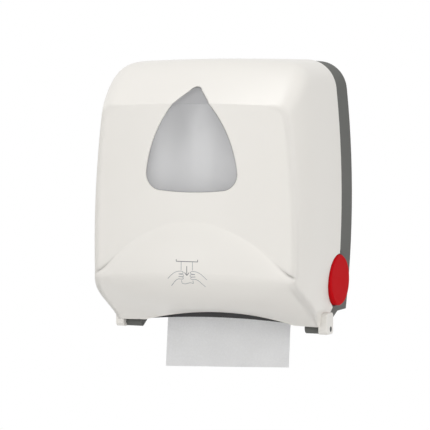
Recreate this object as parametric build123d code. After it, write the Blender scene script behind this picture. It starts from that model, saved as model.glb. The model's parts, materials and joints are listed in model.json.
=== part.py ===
from build123d import *
import math
import os

# Wall-hung roll towel dispenser with a pull-to-cut drum.
# X runs across the front, Y points into the wall, Z points up. The origin is the centre of the
# wall face. A "depth" is a distance in front of the wall, so it is measured along -Y.

# ---- housing form shared by the cover, the window and the back plate
cover_top = 184.5            # top of the cover at the seam
seam_depth = 47.5            # the cover meets the back plate here
seam_gap = 0.8
front_depth = 206.0          # front face at its middle
housing_half_width = 171.0   # at the widest height, on the seam
widest_z = -20.0
side_radius = 1500.0         # barrel curve of the sides, seen from the front
front_draw_in = 18.5         # how much narrower the front face is, each side
draw_in_power = 5.5
front_lean = 0.059           # the front face widens downwards
slope_start = 140.0          # the top turns down into a 45 degree slope here
slope_blend = 12.4
seam_corner = 47.0           # top corner radius at the seam
front_corner = 20.0          # top corner radius at the front face
seam_sag = 3.0               # fall of the top edge from its middle to its shoulders
front_sag = 14.0
front_crown = 1127.0         # radius of the crowned front face, seen from above
skin = 3.0                   # wall of the cover and of the back plate
form_floor = -245.0          # the forms run on below the dispenser and are trimmed
form_margin = 7.5            # and this far in front of the hood

# ---- hood over the paper slot
arch_peak = -52.0            # top of the arched crease where the hood leaves the front face
arch_radius = 150.0
belly_out = 8.5              # how far the hood stands out from the front face
belly_out_side = 3.5         # and at its two ends
belly_z = -125.0
belly_fall = 10.0            # the belly is lower at the sides
lip_depth = 102.0
lip_middle_z = -190.8
lip_side_z = -205.5
lip_from_lug = 13.0          # the lip's arch ends this far inside the hinge lugs

# ---- window
window_top_z = 142.0
window_tip_radius = 11.0
window_half_width = 73.0
window_corner_z = -4.0
window_corner_radius = 24.0
window_bow = 5.7             # how far the bottom edge hangs below the corners
window_gap = 0.3
window_set_back = 0.6
window_flange = 6.0
window_flange_wall = 1.6

# ---- hinge at the bottom
hinge_depth = 90.0
hinge_z = -210.0
hinge_pin_radius = 4.0
hinge_fit = 0.08
lug_width = 24.0
lug_radius = 7.5
lug_wall = 3.0
ear_gap = 0.4
ear_width = 13.6
ear_front_depth = 105.0
ear_rear_depth = 79.5
ear_top_z = -186.0

# ---- back plate
plate_inset = 0.4            # the plate's rim lies this far inside the cover's outline
plate_bottom = -187.5
plate_floor_depth = 36.0
standoff = 4.0               # height of the ribs and screw pads on the back wall
rib_thickness = 2.0
rib_pitch = 40.0
wall_hole_radius = 3.2
wall_hole_pad_radius = 10.0
wall_hole_from_flange = 12.0 # the wall screws stand inside the side frames' flanges
wall_hole_top_z = 150.0
wall_hole_low_z = -60.0

# ---- paper roll
roll_z = 20.0
roll_wall_gap = 21.0         # from the wall face to the back of a full roll
roll_front_gap = 17.0        # from a full roll to the front face
core_radius = 20.0
core_wall = 1.5
hub_flange_radius = 28.0
hub_flange = 2.4
hub_plug_length = 16.0
roll_axle_radius = 6.0
web_thickness = 0.4
paper_gap = 0.3              # clearance between the sheet and what it runs on
tail_end_z = -278.0
tail_lean = 6.0              # degrees that the tail leans forward
tail_bend = 20.0

# ---- drum
drum_depth = 50.0
drum_z = -141.0
drum_radius = 38.0           # over the grip strips
grip_proud = 0.6
grip_seat = 0.4
drum_skin = 2.4
drum_overhang = 7.0          # the drum is longer than the roll, each side
drum_end_gap = 5.0           # from the drum to the side frame
drum_fit = 0.06
cap_thickness = 3.0
cap_set_in = 6.0             # from the drum's end
journal_radius = 8.0
bush_wall = 3.0
bush_flange_radius = 14.0
bush_flange = 2.0
knife_slot_from = 132.0      # degrees round the drum from +Y
knife_slot_to = 175.0
grip_strip_width = 12.0      # degrees round the drum
grip_strip_turns = (-30.0, 30.0, 85.0, 215.0, 270.0)

# ---- knife inside the drum
knife_pivot_radius = 27.0
knife_pivot_turn = 95.0
knife_tip_radius = 33.6
knife_tip_turn = 170.0
knife_pin_radius = 3.0
knife_fit = 0.08
carrier_thickness = 2.5
carrier_reach = 20.0
carrier_side_gap = 3.0
blade_thickness = 1.0
blade_root = 6.0
knife_end_gap = 0.3          # at the ends of the pins and where the blade passes the cheek
carrier_barrel_radius = 5.0
cheek_half_width = 4.5
cheek_thickness = 3.0
blade_screw_reach = 13.0     # from the pivot
blade_screw_head_radius = 3.4
blade_screw_head = 1.6
tooth_pitch = 8.0
tooth_depth = 5.0
blade_screw_pitch = 44.0
follower_arm = 14.0
follower_turn = 26.0         # degrees between the blade and the follower arm
follower_pin_radius = 2.5
follower_roller_radius = 4.0
follower_travel = 25.0       # degrees that the knife swings

# ---- pinch roller
pinch_turn = 39.5            # clear of the knife's circle when the slot passes
pinch_radius = 7.0
pinch_shaft_radius = 4.0
pinch_sleeve_length = 30.0
pinch_sleeve_pitch = 48.0
pinch_lift = 2.0

# ---- side frames and roll arms
side_bay = 56.0              # room beside each frame for the knob's shaft and the spring
frame_thickness = 3.0
frame_top_z = -58.0
frame_front_depth = 94.0
frame_bottom_z = -199.0
flange_width = 15.0
flange_thickness = 3.0
arm_gap = 4.5                # from the roll to its arm
arm_thickness = 4.0
arm_eye_radius = 15.0
arm_foot_half_height = 45.0
screw_pad_radius = 6.5
screw_radius = 2.0
screw_head_radius = 4.0
screw_head = 2.4
screw_hole_gap = 0.1
screw_floor = 1.0            # plastic left under a blind screw hole

# ---- drive on the right, return spring on the left
knob_radius = 37.5
knob_set_in = 0.5            # below the widest line of the housing
knob_depth = 12.5
knob_gap = 1.0
knob_skin = 3.0
knob_bevel = 2.0
knob_hub_radius = 9.0
knob_wall_depth = 15.0       # the strip of side wall kept round the knob's notch
drive_shaft_radius = 5.0
dish_gap = 2.0
dish_ring = 2.5
crank_disc_radius = 28.0
crank_throw = 22.0
crank_pin_radius = 3.0
crank_disc_thickness = 3.0
spring_post_rise = 66.0      # from the drum axis
spring_post_back = 28.0
spring_radius = 4.5
spring_wire = 1.4

# ---- paper guide
guide_thickness = 2.5
guide_top_z = -172.0
guide_middle_z = -199.0
guide_side_z = -205.0
guide_beyond_frame = 9.0
guide_tab = 12.0

# ---- lock at the top
lock_depth = 66.0
lock_radius = 8.0
lock_housing_wall = 3.5
lock_housing_bottom = 168.5
lock_recess = 0.6
lock_fit = 0.08
lock_flange_radius = 10.0
lock_flange = 2.3
lock_stem_radius = 4.0
latch_length = 22.0
latch_width = 7.0
latch_thickness = 2.5
latch_z = 161.0
strike_near_x = 13.0
strike_far_x = 24.0
strike_sheet = 2.5
strike_foot = 22.0
strike_drop = 5.0            # from the latch down to the strike's arm

far = 400.0                  # larger than anything here, for trimming tools

# ---- places worked out from the sizes above
roll_radius = (front_depth - roll_wall_gap - roll_front_gap) / 2
drum_axis = (drum_depth, drum_z)
roll_axis = (roll_wall_gap + roll_radius, roll_z)
hinge_axis = (hinge_depth, hinge_z)
shell_radius = drum_radius - grip_proud
frame_outer_x = housing_half_width - side_bay
frame_inner_x = frame_outer_x - frame_thickness
drum_half_width = frame_inner_x - drum_end_gap
cap_inner_x = drum_half_width - cap_set_in
roll_half_width = drum_half_width - drum_overhang
arm_inner_x = roll_half_width + arm_gap
ear_outer_x = housing_half_width
lug_outer_x = ear_outer_x - ear_width - ear_gap
lug_inner_x = lug_outer_x - lug_width
lip_half_width = lug_inner_x - lip_from_lug
guide_half_width = frame_outer_x + guide_beyond_frame
wall_hole_x = frame_inner_x - flange_width - wall_hole_from_flange
ribs_half_width = wall_hole_x + wall_hole_pad_radius
knob_face_x = housing_half_width - knob_set_in
knob_back_x = knob_face_x - knob_depth
dish_x = knob_back_x - dish_gap - skin
flange_depth = skin + standoff
screw_seat_depth = flange_depth + flange_thickness
bush_radius = journal_radius + bush_wall
knob_edge_radius = knob_radius + knob_gap
web_radius = drum_radius + paper_gap + web_thickness / 2
pinch_reach = drum_radius + 2 * paper_gap + web_thickness + pinch_radius
crank_disc_x = frame_outer_x + bush_flange + 1.5
spring_x = crank_disc_x + crank_disc_thickness + spring_radius + 1.0
carrier_half_width = cap_inner_x - carrier_side_gap
ear_inner_x = lug_outer_x + ear_gap
strike_z = latch_z - strike_drop - strike_sheet


# ---------------------------------------------------------------- drawing helpers


def yz(corners):
    """A face in the YZ plane at X = 0 from its (depth, z) corners."""
    return Face(Wire.make_polygon([Vector(0, -depth, z) for depth, z in corners]))


def along_x(face, start, end):
    """A face in the YZ plane, extruded from X = start to X = end."""
    return extrude(face.moved(Location((start, 0, 0))), end - start, dir=(1, 0, 0))


def rod(radius, start, end, place):
    """A round bar along X at a (depth, z) place."""
    bar = Cylinder(radius, abs(end - start))
    return bar.moved(Location(((start + end) / 2, -place[0], place[1]), (0, 90, 0)))


def tube(outer, inner, start, end, place):
    """A round sleeve along X."""
    return rod(outer, start, end, place) - rod(inner, min(start, end) - 1, max(start, end) + 1, place)


def pin_into_wall(radius, x, z, front, back):
    """A round bar along Y between two depths."""
    bar = Cylinder(radius, abs(front - back))
    return bar.moved(Location((x, -(front + back) / 2, z), (90, 0, 0)))


def post(radius, depth, low, high):
    """A round bar along Z on the middle plane."""
    bar = Cylinder(radius, high - low)
    return bar.moved(Location((0, -depth, (low + high) / 2)))


def block(across, depths, heights):
    """A box from its limits along X, in depth and along Z."""
    box = Box(across[1] - across[0], depths[1] - depths[0], heights[1] - heights[0])
    middle = (sum(across) / 2, -sum(depths) / 2, sum(heights) / 2)
    return box.moved(Location(middle))


def polar(place, radius, turn):
    """The (depth, z) of a point at an angle round a place, from +Y towards +Z."""
    angle = math.radians(turn)
    return place[0] - radius * math.cos(angle), place[1] + radius * math.sin(angle)


def point(place, x=0):
    """A (depth, z) place as a point at X."""
    return Vector(x, -place[0], place[1])


def arc_about(place, radius, first, last):
    """A circular arc in the YZ plane round a place."""
    turns = (first, (first + last) / 2, last)
    return ThreePointArc(*[point(polar(place, radius, turn)) for turn in turns])


def sector(place, radius, first, last):
    """A wedge of the YZ plane round a place, wide enough to trim with."""
    arc = arc_about(place, radius, first, last)
    return Face(Wire([Line(point(place), arc @ 0), arc, Line(arc @ 1, point(place))]))


def mirrored(shape):
    """The left-hand twin of a right-hand shape."""
    return shape.mirror(Plane.YZ)


def turn_of(start, end):
    """Direction in degrees from one (depth, z) place to another."""
    return math.degrees(math.atan2(end[1] - start[1], start[0] - end[0]))


# ---------------------------------------------------------------- housing form


def draw(depth):
    """How far a depth lies from the seam, as a share of the way to the front face."""
    return max(0.0, (depth - seam_depth) / (front_depth - seam_depth))


def half_width(depth, z):
    """Half the width of the housing at a depth and a height."""
    share = draw(depth)
    rise = z - widest_z
    barrel = rise ** 2 / (2 * side_radius)
    lean = front_lean * share ** 3 * rise
    return housing_half_width - front_draw_in * share ** draw_in_power - barrel - lean


def top_height(depth):
    """Height of the top: flat at the seam, bending smoothly into a 45 degree slope."""
    past = depth - slope_start
    return cover_top - (past + math.hypot(past, slope_blend)) / 2


def front_outline(depth, inset):
    """The housing's outline in a plane parallel to the wall: barrel sides and a domed top."""
    share = draw(depth)
    y = inset - depth
    top = top_height(depth) - inset
    shoulder = top - seam_sag - (front_sag - seam_sag) * share ** 2
    middle = (form_floor + shoulder) / 2
    heights = (form_floor, middle, shoulder)
    side = ThreePointArc(*[Vector(half_width(depth, z) - inset, y, z) for z in heights])
    foot = side @ 0
    peak = side @ 1
    dome = ThreePointArc(peak, Vector(0, y, top), Vector(-peak.X, y, peak.Z))
    base = Line(Vector(-foot.X, y, foot.Z), foot)
    outline = Wire([side, dome, side.mirror(Plane.YZ), base])
    corners = [v for v in outline.vertices() if v.Z > 0]
    radius = seam_corner + (front_corner - seam_corner) * share ** 2 - inset
    return outline.fillet_2d(radius, corners)


def pillow(inset, back):
    """The housing without its front: a loft of outlines from the back to past the front face."""
    stations = 13
    last = front_depth + belly_out + form_margin
    step = (last - back) / (stations - 1)
    return Solid.make_loft([front_outline(back + step * i, inset) for i in range(stations)])


def crown(x):
    """How far the crowned front falls back at a distance from its middle."""
    return x ** 2 / (2 * front_crown)


def front_block(inset):
    """Everything behind the crowned front face, down to the hood's belly."""
    reach = housing_half_width + 20
    face_y = inset - front_depth
    edge_y = face_y + crown(reach)
    back_y = -seam_depth / 2
    bow = ThreePointArc(Vector(-reach, edge_y, 0), Vector(0, face_y, 0), Vector(reach, edge_y, 0))
    back = Polyline(
        Vector(reach, edge_y, 0),
        Vector(reach, back_y, 0),
        Vector(-reach, back_y, 0),
        Vector(-reach, edge_y, 0))
    plan = Face(Wire([bow, *back.edges()])).moved(Location((0, 0, belly_z - 5)))
    return extrude(plan, far, dir=(0, 0, 1))


def hood_section(x, inset):
    """The hood and chin in a plane parallel to the sides."""
    share = (x / (housing_half_width - 6)) ** 2
    fall = min(abs(x), arch_radius) ** 2 / (2 * arch_radius)
    crease = Vector(x, crown(x) + inset - front_depth, arch_peak - fall)
    stand = belly_out + (belly_out_side - belly_out) * share
    belly = Vector(x, crease.Y - stand, belly_z - belly_fall * share)
    swell = Vector(x, belly.Y, crease.Z + 0.4 * (belly.Z - crease.Z))
    start = crease + (crease - swell).normalized() * 14
    lip = Vector(x, inset - lip_depth - 10 * share, lip_middle_z - 24 * share + inset)
    chin = Vector(x, belly.Y, belly.Z - 40 + 18 * share)
    throat = Vector(x, -150 + 30 * share + inset / 2, -187 + 2 * share + inset)
    skirt = Vector(x, lip.Y + 3, form_floor - 5)
    low = Vector(x, -seam_depth / 2, skirt.Z)
    high = Vector(x, low.Y, start.Z)
    straight = Polyline(lip, skirt, low, high, start)
    return Wire([
        Line(start, crease),
        Bezier(crease, swell, belly),
        Bezier(belly, chin, throat, lip),
        *straight.edges(),
    ])


def hood(inset):
    """The bulging hood, lofted from side to side."""
    half_count = 5
    step = (housing_half_width + 9) / half_count
    places = [step * i for i in range(-half_count, half_count + 1)]
    return Solid.make_loft([hood_section(x, inset) for x in places])


def housing_form(inset, back):
    """The closed outer form of the housing, or the form a wall thickness inside it."""
    return pillow(inset, back) & (front_block(inset) + hood(inset))


def upper_form(inset):
    """The part of the form that the window lies in."""
    return pillow(inset, seam_depth) & front_block(inset)


# ---------------------------------------------------------------- seam between plate and cover


def seam_path(knob_side, step_back):
    """The seam as a wire in the YZ plane, closed far behind the wall."""
    edge = knob_edge_radius
    swing = math.dist(hinge_axis, drum_axis) - edge + step_back
    rear_turn = 45 - math.degrees(step_back / swing)
    rear = polar(hinge_axis, swing, rear_turn)
    below_rear = (hinge_depth - 21.6 - step_back, hinge_z + 21.6)
    above_pin = (hinge_depth - 13.4 - step_back, hinge_z + 5.0)
    behind_ear = (ear_rear_depth - step_back, hinge_z + 2.0)
    foot = [below_rear, above_pin, behind_ear, (behind_ear[0], -far), (-far, -far), (-far, far)]
    line = seam_depth - step_back
    if knob_side:
        bend = (line, drum_z + edge + 10)
        tip = (drum_depth - 9.0 - step_back, drum_z + edge + 1.0)
        to_knob = turn_of(hinge_axis, drum_axis)
        front_arc = arc_about(drum_axis, edge, 92, 180 + to_knob)
        tangent = arc_about(hinge_axis, swing, to_knob, rear_turn)
        upper = Polyline(point((line, far)), point(bend), point(tip), front_arc @ 0)
        if step_back:
            link = [Line(front_arc @ 1, tangent @ 0)]
        else:
            link = []
        edges = [*upper.edges(), front_arc, *link, tangent]
    else:
        upper = Polyline(point((line, far)), point((line, drum_z - 9)), point(rear))
        edges = [*upper.edges()]
    lower = Polyline(*[point(p) for p in [rear, *foot, (line, far)]])
    return Face(Wire([*edges, *lower.edges()]))


def behind_seam(knob_side, step_back=0.0):
    """Everything behind the seam on one side of the middle."""
    face = seam_path(knob_side, step_back)
    if knob_side:
        return along_x(face, 0, far)
    return along_x(face, -far, 0)


# ---------------------------------------------------------------- cover


def outward(arc, share):
    """The outward normal of the window's outline part of the way along one of its arcs."""
    along = arc % share
    return Vector(-along.Z, 0, along.X)


def across_arc(end, middle):
    """An arc from a point to its twin on the other side, through a point on the middle."""
    return ThreePointArc(end, middle, Vector(-end.X, 0, end.Z))


def window_prism(grow):
    """The window's outline, made larger or smaller, as a prism through the front."""
    corner = Vector(window_half_width, 0, window_corner_z)
    height = window_top_z - window_corner_z
    centre = Vector(0, 0, window_top_z - window_tip_radius)
    lean = math.radians(28)
    tip_end = Vector(math.cos(lean), 0, math.sin(lean))
    bulge = Vector(0.79 * window_half_width, 0, window_corner_z + 0.52 * height)
    plain_side = ThreePointArc(centre + tip_end * window_tip_radius, bulge, corner)
    lowest = Vector(0, 0, window_corner_z - window_bow)
    side_out = outward(plain_side, 1)
    base_out = outward(across_arc(corner, lowest), 0)
    corner = corner + (side_out + base_out) * (grow / (1 + side_out.dot(base_out)))
    shoulder = centre + tip_end * (window_tip_radius + grow)
    flank = plain_side @ 0.5 + outward(plain_side, 0.5) * grow
    side = ThreePointArc(shoulder, flank, corner)
    tip = across_arc(shoulder, Vector(0, 0, window_top_z + grow))
    base = across_arc(corner, lowest - Vector(0, 0, grow))
    outline = Wire([tip, side, base, side.mirror(Plane.YZ)])
    low = [v for v in outline.vertices() if v.Z < height / 3]
    outline = outline.fillet_2d(window_corner_radius + grow, low)
    start = slope_start + 15
    return extrude(Face(outline).moved(Location((0, -start, 0))), far, dir=(0, -1, 0))


def bottom_trim():
    """Everything below the cover's bottom edge: an arch in the middle, then flat to the ears."""
    reach = housing_half_width + 20
    right = Vector(lip_half_width, 0, lip_side_z)
    left = Vector(-lip_half_width, 0, lip_side_z)
    arch = ThreePointArc(left, Vector(0, 0, lip_middle_z), right)
    rest = Polyline(
        right,
        Vector(reach, 0, lip_side_z),
        Vector(reach, 0, -far),
        Vector(-reach, 0, -far),
        Vector(-reach, 0, lip_side_z),
        left)
    return extrude(Face(Wire([arch, *rest.edges()])), far, dir=(0, -1, 0))


def hinge_ear():
    """The right-hand ear of the cover, which turns on the hinge pin."""
    depths = (ear_rear_depth, ear_front_depth)
    heights = (hinge_z - lug_radius, ear_top_z)
    ear = block((ear_inner_x, ear_outer_x), depths, heights)
    ear = fillet(ear.edges().filter_by(Axis.X), 5.0)
    return fillet(ear.faces().sort_by(Axis.X)[-1].edges(), 1.5)


def lug_relief():
    """The space that the right-hand hinge lug takes inside the cover's skirt."""
    across = (lug_inner_x - ear_gap, ear_inner_x)
    depths = (seam_depth, hinge_depth + lug_radius + ear_gap)
    return block(across, depths, (hinge_z - 2 * lug_radius, hinge_z + lug_radius + ear_gap))


def lock_boss():
    """The sleeve under the cover's top that holds the lock barrel."""
    top = cover_top - skin
    return post(lock_radius + lock_housing_wall, lock_depth, lock_housing_bottom, top)


def front_cover():
    """The cover: a shell with its window opening, arched lip, hinge ears and lock boss."""
    shell = housing_form(0, seam_depth + seam_gap / 2) - housing_form(skin, seam_depth - 10)
    shell = shell - bottom_trim()
    for knob_side in (True, False):
        shell = shell - behind_seam(knob_side)
    shell = shell - window_prism(0)
    relief = lug_relief()
    shell = shell - relief - mirrored(relief)
    ear = hinge_ear()
    shell = shell + ear + mirrored(ear) + lock_boss()
    shell = shell - rod(hinge_pin_radius + hinge_fit, -far, far, hinge_axis)
    return shell - post(lock_radius + lock_fit, lock_depth, lock_housing_bottom - 5, cover_top + 5)


def knob_wall_region():
    """The space round the knob's notch, where the cover's side wall is a node of its own."""
    reach = knob_edge_radius + knob_wall_depth
    depths = (-far, drum_depth + reach)
    return block((dish_x, far), depths, (ear_top_z, drum_z + reach))


def window_pane():
    """The smoky pane: a plug in the opening with a flange against the inside of the cover."""
    flange_face = skin + window_gap
    plug = upper_form(window_set_back) & window_prism(-window_gap)
    flange = upper_form(flange_face) & window_prism(window_flange)
    inside = upper_form(flange_face + window_flange_wall)
    return (plug - inside) + (flange - inside)


def lock_barrel():
    """The barrel with its key slot, retaining flange and stem."""
    top = cover_top - lock_recess
    flange_top = lock_housing_bottom - 0.2
    barrel = post(lock_radius, lock_depth, flange_top - lock_flange, top)
    barrel = barrel + post(lock_flange_radius, lock_depth, flange_top - lock_flange, flange_top)
    barrel = barrel + post(lock_stem_radius, lock_depth, latch_z - 4, flange_top - lock_flange)
    slot = block((-0.8, 0.8), (lock_depth - 3.5, lock_depth + 3.5), (top - 6, top + 1))
    return barrel - slot


def latch_cam():
    """The lever on the lock's stem. It points at the wall when unlocked."""
    heights = (latch_z, latch_z + latch_thickness)
    depths = (lock_depth - latch_length, lock_depth)
    lever = block((-latch_width / 2, latch_width / 2), depths, heights)
    lever = lever + post(lock_stem_radius + 3, lock_depth, *heights)
    return lever - post(lock_stem_radius + lock_fit, lock_depth, latch_z - 1, heights[1] + 1)


def lock_nut():
    """The nut that clamps the latch cam on its stem."""
    hexagon = RegularPolygon(lock_stem_radius + 3, 6)
    nut = extrude(hexagon, 3.0).moved(Location((0, -lock_depth, latch_z - 3.2)))
    return nut - post(lock_stem_radius + lock_fit, lock_depth, latch_z - 5, latch_z + 1)


# ---------------------------------------------------------------- back plate


def plate_foot(step):
    """The plate's bottom line in the YZ plane, from the wall down to the hinge lug."""
    low = plate_bottom + step
    return [(0, low), (plate_floor_depth, low - 0.5), (51, low - 8.5), (65, low - 15.5)]


def below_plate(step):
    """Everything below the plate's bottom line."""
    last = plate_foot(step)[-1]
    corners = [(-far, plate_bottom + step), *plate_foot(step), (far, last[1] - 120)]
    return along_x(yz([*corners, (far, -far), (-far, -far)]), -far, far)


def plate_outline(depth, inset):
    """The plate's outline in a plane parallel to the wall."""
    outline = front_outline(0, inset + plate_inset)
    return outline.moved(Location((0, -depth - inset - plate_inset, 0)))


def plate_form(inset, front):
    """The plate's form between the wall and a depth."""
    draft = 1.5
    back = plate_outline(inset, inset + draft)
    return Solid.make_loft([back, plate_outline(front, inset)])


def hinge_arm():
    """The right-hand arm under the plate that ends in the hinge lug."""
    lower = [(skin, plate_bottom), *plate_foot(0)[1:], polar(hinge_axis, lug_radius, -65)]
    upper = [polar(hinge_axis, lug_radius, 60), (62, -189), (44, -176), (skin, -176)]
    arm = along_x(yz([*lower, *upper]), lug_inner_x, lug_outer_x)
    arm = arm + rod(lug_radius, lug_inner_x, lug_outer_x, hinge_axis)
    floor = [(skin, plate_bottom + skin), (plate_floor_depth, plate_bottom + 2.5), (62, -197)]
    pocket = yz([*floor, (60, -186), (42, -170), (skin, -170)])
    inner = lug_inner_x + lug_wall
    outer = lug_outer_x - lug_wall
    arm = arm - along_x(pocket, inner, outer)
    return arm - rod(hinge_pin_radius + hinge_fit, lug_inner_x + 4, far, hinge_axis)


def knob_dish():
    """The dish round the feed knob: a disc behind it and a rim where the plate's side is."""
    rim = knob_edge_radius + dish_ring
    ring = tube(rim, knob_edge_radius, dish_x, housing_half_width, drum_axis)
    ring = ring & plate_form(0, 2 * seam_depth) & behind_seam(True, 3 * seam_gap)
    disc = rod(rim, dish_x, dish_x + skin, drum_axis)
    return ring + disc


def back_ribs():
    """The grid of ribs on the back wall."""
    depths = (skin / 2, flange_depth)
    ribs = []
    for i in range(-2, 3):
        x = i * rib_pitch
        across = (x - rib_thickness / 2, x + rib_thickness / 2)
        ribs.append(block(across, depths, (plate_bottom + skin / 2, cover_top - skin - 6)))
    for i in range(-4, 5):
        z = i * rib_pitch
        heights = (z - rib_thickness / 2, z + rib_thickness / 2)
        ribs.append(block((-ribs_half_width, ribs_half_width), depths, heights))
    return ribs


def frame_screw_places():
    """(x, z) of every screw that holds a frame or an arm to the back wall, right-hand side."""
    frame_x = frame_inner_x - flange_width / 2
    arm_x = arm_inner_x - flange_width / 2
    reach = arm_foot_half_height - 10
    frame_z = [frame_top_z - 16, drum_z - 30]
    places = [(frame_x, z) for z in frame_z]
    return places + [(arm_x, roll_z + reach), (arm_x, roll_z - reach)]


def wall_hole_places():
    """(x, z) of the four screw holes to the wall."""
    return [(x, z) for x in (-wall_hole_x, wall_hole_x) for z in (wall_hole_low_z, wall_hole_top_z)]


def back_plate():
    """The grey plate: back wall, rim, ribs, pads, hinge arms and the knob's dish."""
    rim_front = 2 * seam_depth
    plate = plate_form(0, rim_front) - plate_form(skin, rim_front + 10)
    plate = plate - below_plate(0)
    for knob_side in (True, False):
        front = block((0, far), (-far, far), (-far, far)) - behind_seam(True, seam_gap)
        if not knob_side:
            front = block((-far, 0), (-far, far), (-far, far)) - behind_seam(False, seam_gap)
        plate = plate - front
    plate = plate - rod(knob_edge_radius, housing_half_width - 25, far, drum_axis)
    floor = block((-far, far), (skin / 2, plate_floor_depth), (plate_bottom - 10, plate_bottom + skin))
    plate = plate + ((floor & plate_form(0, rim_front)) - below_plate(0))
    arm = hinge_arm()
    plate = plate + arm + mirrored(arm) + knob_dish()
    for rib in back_ribs():
        plate = plate + rib
    for x, z in wall_hole_places():
        plate = plate + pin_into_wall(wall_hole_pad_radius, x, z, flange_depth, skin / 2)
        plate = plate - pin_into_wall(wall_hole_radius, x, z, flange_depth + 1, -1)
    for x, z in frame_screw_places():
        for side in (-1, 1):
            plate = plate + pin_into_wall(screw_pad_radius, side * x, z, flange_depth, skin / 2)
            hole = pin_into_wall(screw_radius + screw_hole_gap, side * x, z, far, screw_floor)
            plate = plate - hole
    pad = (strike_z - strike_foot, strike_z + strike_sheet)
    plate = plate + block((strike_near_x, strike_far_x), (skin / 2, flange_depth), pad)
    x, z = strike_screw_place()
    plate = plate - pin_into_wall(screw_radius + screw_hole_gap, x, z, far, screw_floor)
    return plate - rod(drive_shaft_radius + 0.5, dish_x - 5, far, drum_axis)


# ---------------------------------------------------------------- frames, arms and their screws


def side_frame():
    """The right-hand side frame: bearing hole, slot for the pinch shaft and a screw flange."""
    floor_z = plate_bottom + skin + 0.3
    outline = yz([
        (flange_depth, frame_top_z),
        (34, frame_top_z),
        (62, frame_top_z - 34),
        (frame_front_depth, drum_z + 20),
        (frame_front_depth, frame_bottom_z),
        (62, frame_bottom_z),
        (plate_floor_depth + 2, floor_z),
        (flange_depth, floor_z)])
    frame = along_x(outline, frame_inner_x, frame_outer_x)
    corners = frame.edges().filter_by(Axis.X).sort_by(Axis.Y)
    frame = fillet(corners[0:2], 5.0)
    flange_x = (frame_inner_x - flange_width, frame_inner_x)
    flange = block(flange_x, (flange_depth, screw_seat_depth), (floor_z, frame_top_z))
    frame = frame + flange
    frame = frame - rod(bush_radius + 0.05, 0, far, drum_axis)
    seat = polar(drum_axis, pinch_reach, pinch_turn)
    lifted = polar(drum_axis, pinch_reach + pinch_lift, pinch_turn)
    hole = pinch_shaft_radius + drum_fit
    for place in (seat, lifted):
        frame = frame - rod(hole, 0, far, place)
    sides = [polar(p, hole, pinch_turn + a) for p, a in ((seat, -90), (seat, 90), (lifted, 90), (lifted, -90))]
    frame = frame - along_x(yz(sides), 0, far)
    for turn in (200, 240):
        frame = frame - rod(6.0, 0, far, polar(drum_axis, 46, turn))
    for x, z in frame_screw_places()[:2]:
        frame = frame - pin_into_wall(screw_radius + screw_hole_gap, x, z, far, 0)
    return frame - rod(screw_radius + screw_hole_gap, 0, far, guide_screw_place())


def roll_arm():
    """The right-hand roll arm: a tapered blade from its foot to the eye for the roll's axle."""
    top = polar(roll_axis, arm_eye_radius, 80)
    low = polar(roll_axis, arm_eye_radius, -80)
    reach = arm_foot_half_height
    blade = yz([(flange_depth, roll_z + reach), top, low, (flange_depth, roll_z - reach)])
    arm = along_x(blade, arm_inner_x, arm_inner_x + arm_thickness)
    arm = arm + rod(arm_eye_radius, arm_inner_x, arm_inner_x + arm_thickness, roll_axis)
    window = yz([(22, roll_z + 24), (76, roll_z + 8), (76, roll_z - 8), (22, roll_z - 24)])
    arm = arm - along_x(window, 0, far)
    foot_x = (arm_inner_x - flange_width, arm_inner_x + arm_thickness)
    foot = block(foot_x, (flange_depth, screw_seat_depth), (roll_z - reach, roll_z + reach))
    arm = arm + foot - rod(roll_axle_radius + drum_fit, 0, far, roll_axis)
    for x, z in frame_screw_places()[2:]:
        arm = arm - pin_into_wall(screw_radius + screw_hole_gap, x, z, far, 0)
    return arm


def wall_screw(x, z, seat):
    """A pan-head screw into the back wall, with its head on a seat at a depth."""
    head = pin_into_wall(screw_head_radius, x, z, seat + screw_head, seat)
    return head + pin_into_wall(screw_radius, x, z, seat, screw_floor + 0.5)


def screws_into_wall(places):
    """The screws through a flange into the back wall, both sides."""
    return Compound(children=[wall_screw(s * x, z, screw_seat_depth) for x, z in places for s in (-1, 1)])


def strike_screw():
    """The screw through the latch strike's foot."""
    return wall_screw(*strike_screw_place(), flange_depth + strike_sheet)


def paper_guide():
    """The black bar behind the lip, arched below, with a tab to each side frame."""
    depths = (frame_front_depth, frame_front_depth + guide_thickness)
    right = Vector(guide_half_width, 0, guide_side_z)
    left = Vector(-guide_half_width, 0, guide_side_z)
    arch = ThreePointArc(left, Vector(0, 0, guide_middle_z), right)
    rest = Polyline(
        right,
        Vector(guide_half_width, 0, guide_top_z),
        Vector(-guide_half_width, 0, guide_top_z),
        left)
    front = Face(Wire([arch, *rest.edges()])).moved(Location((0, -depths[0], 0)))
    bar = extrude(front, guide_thickness, dir=(0, -1, 0))
    tab_x = (frame_outer_x, frame_outer_x + guide_thickness)
    tab = block(tab_x, (depths[0] - guide_tab, depths[0]), (frame_bottom_z + 3, guide_top_z - 4))
    tab = tab - rod(screw_radius + screw_hole_gap, 0, far, guide_screw_place())
    return bar + tab + mirrored(tab)


def guide_screw_place():
    """(depth, z) of the screw that holds the guide to a side frame."""
    return frame_front_depth - guide_tab / 2, (guide_top_z + frame_bottom_z) / 2


def guide_screws():
    """One screw through each guide tab into its side frame."""
    seat = frame_outer_x + guide_thickness
    place = guide_screw_place()
    screw = rod(screw_head_radius, seat, seat + screw_head, place)
    screw = screw + rod(screw_radius, frame_inner_x, seat, place)
    return Compound(children=[screw, mirrored(screw)])


def drum_bush():
    """The right-hand bush: a flanged plastic sleeve that the drum's journal runs in."""
    bore = journal_radius + drum_fit
    bush = tube(bush_radius, bore, frame_inner_x, frame_outer_x, drum_axis)
    return bush + tube(bush_flange_radius, bore, frame_outer_x, frame_outer_x + bush_flange, drum_axis)


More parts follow.
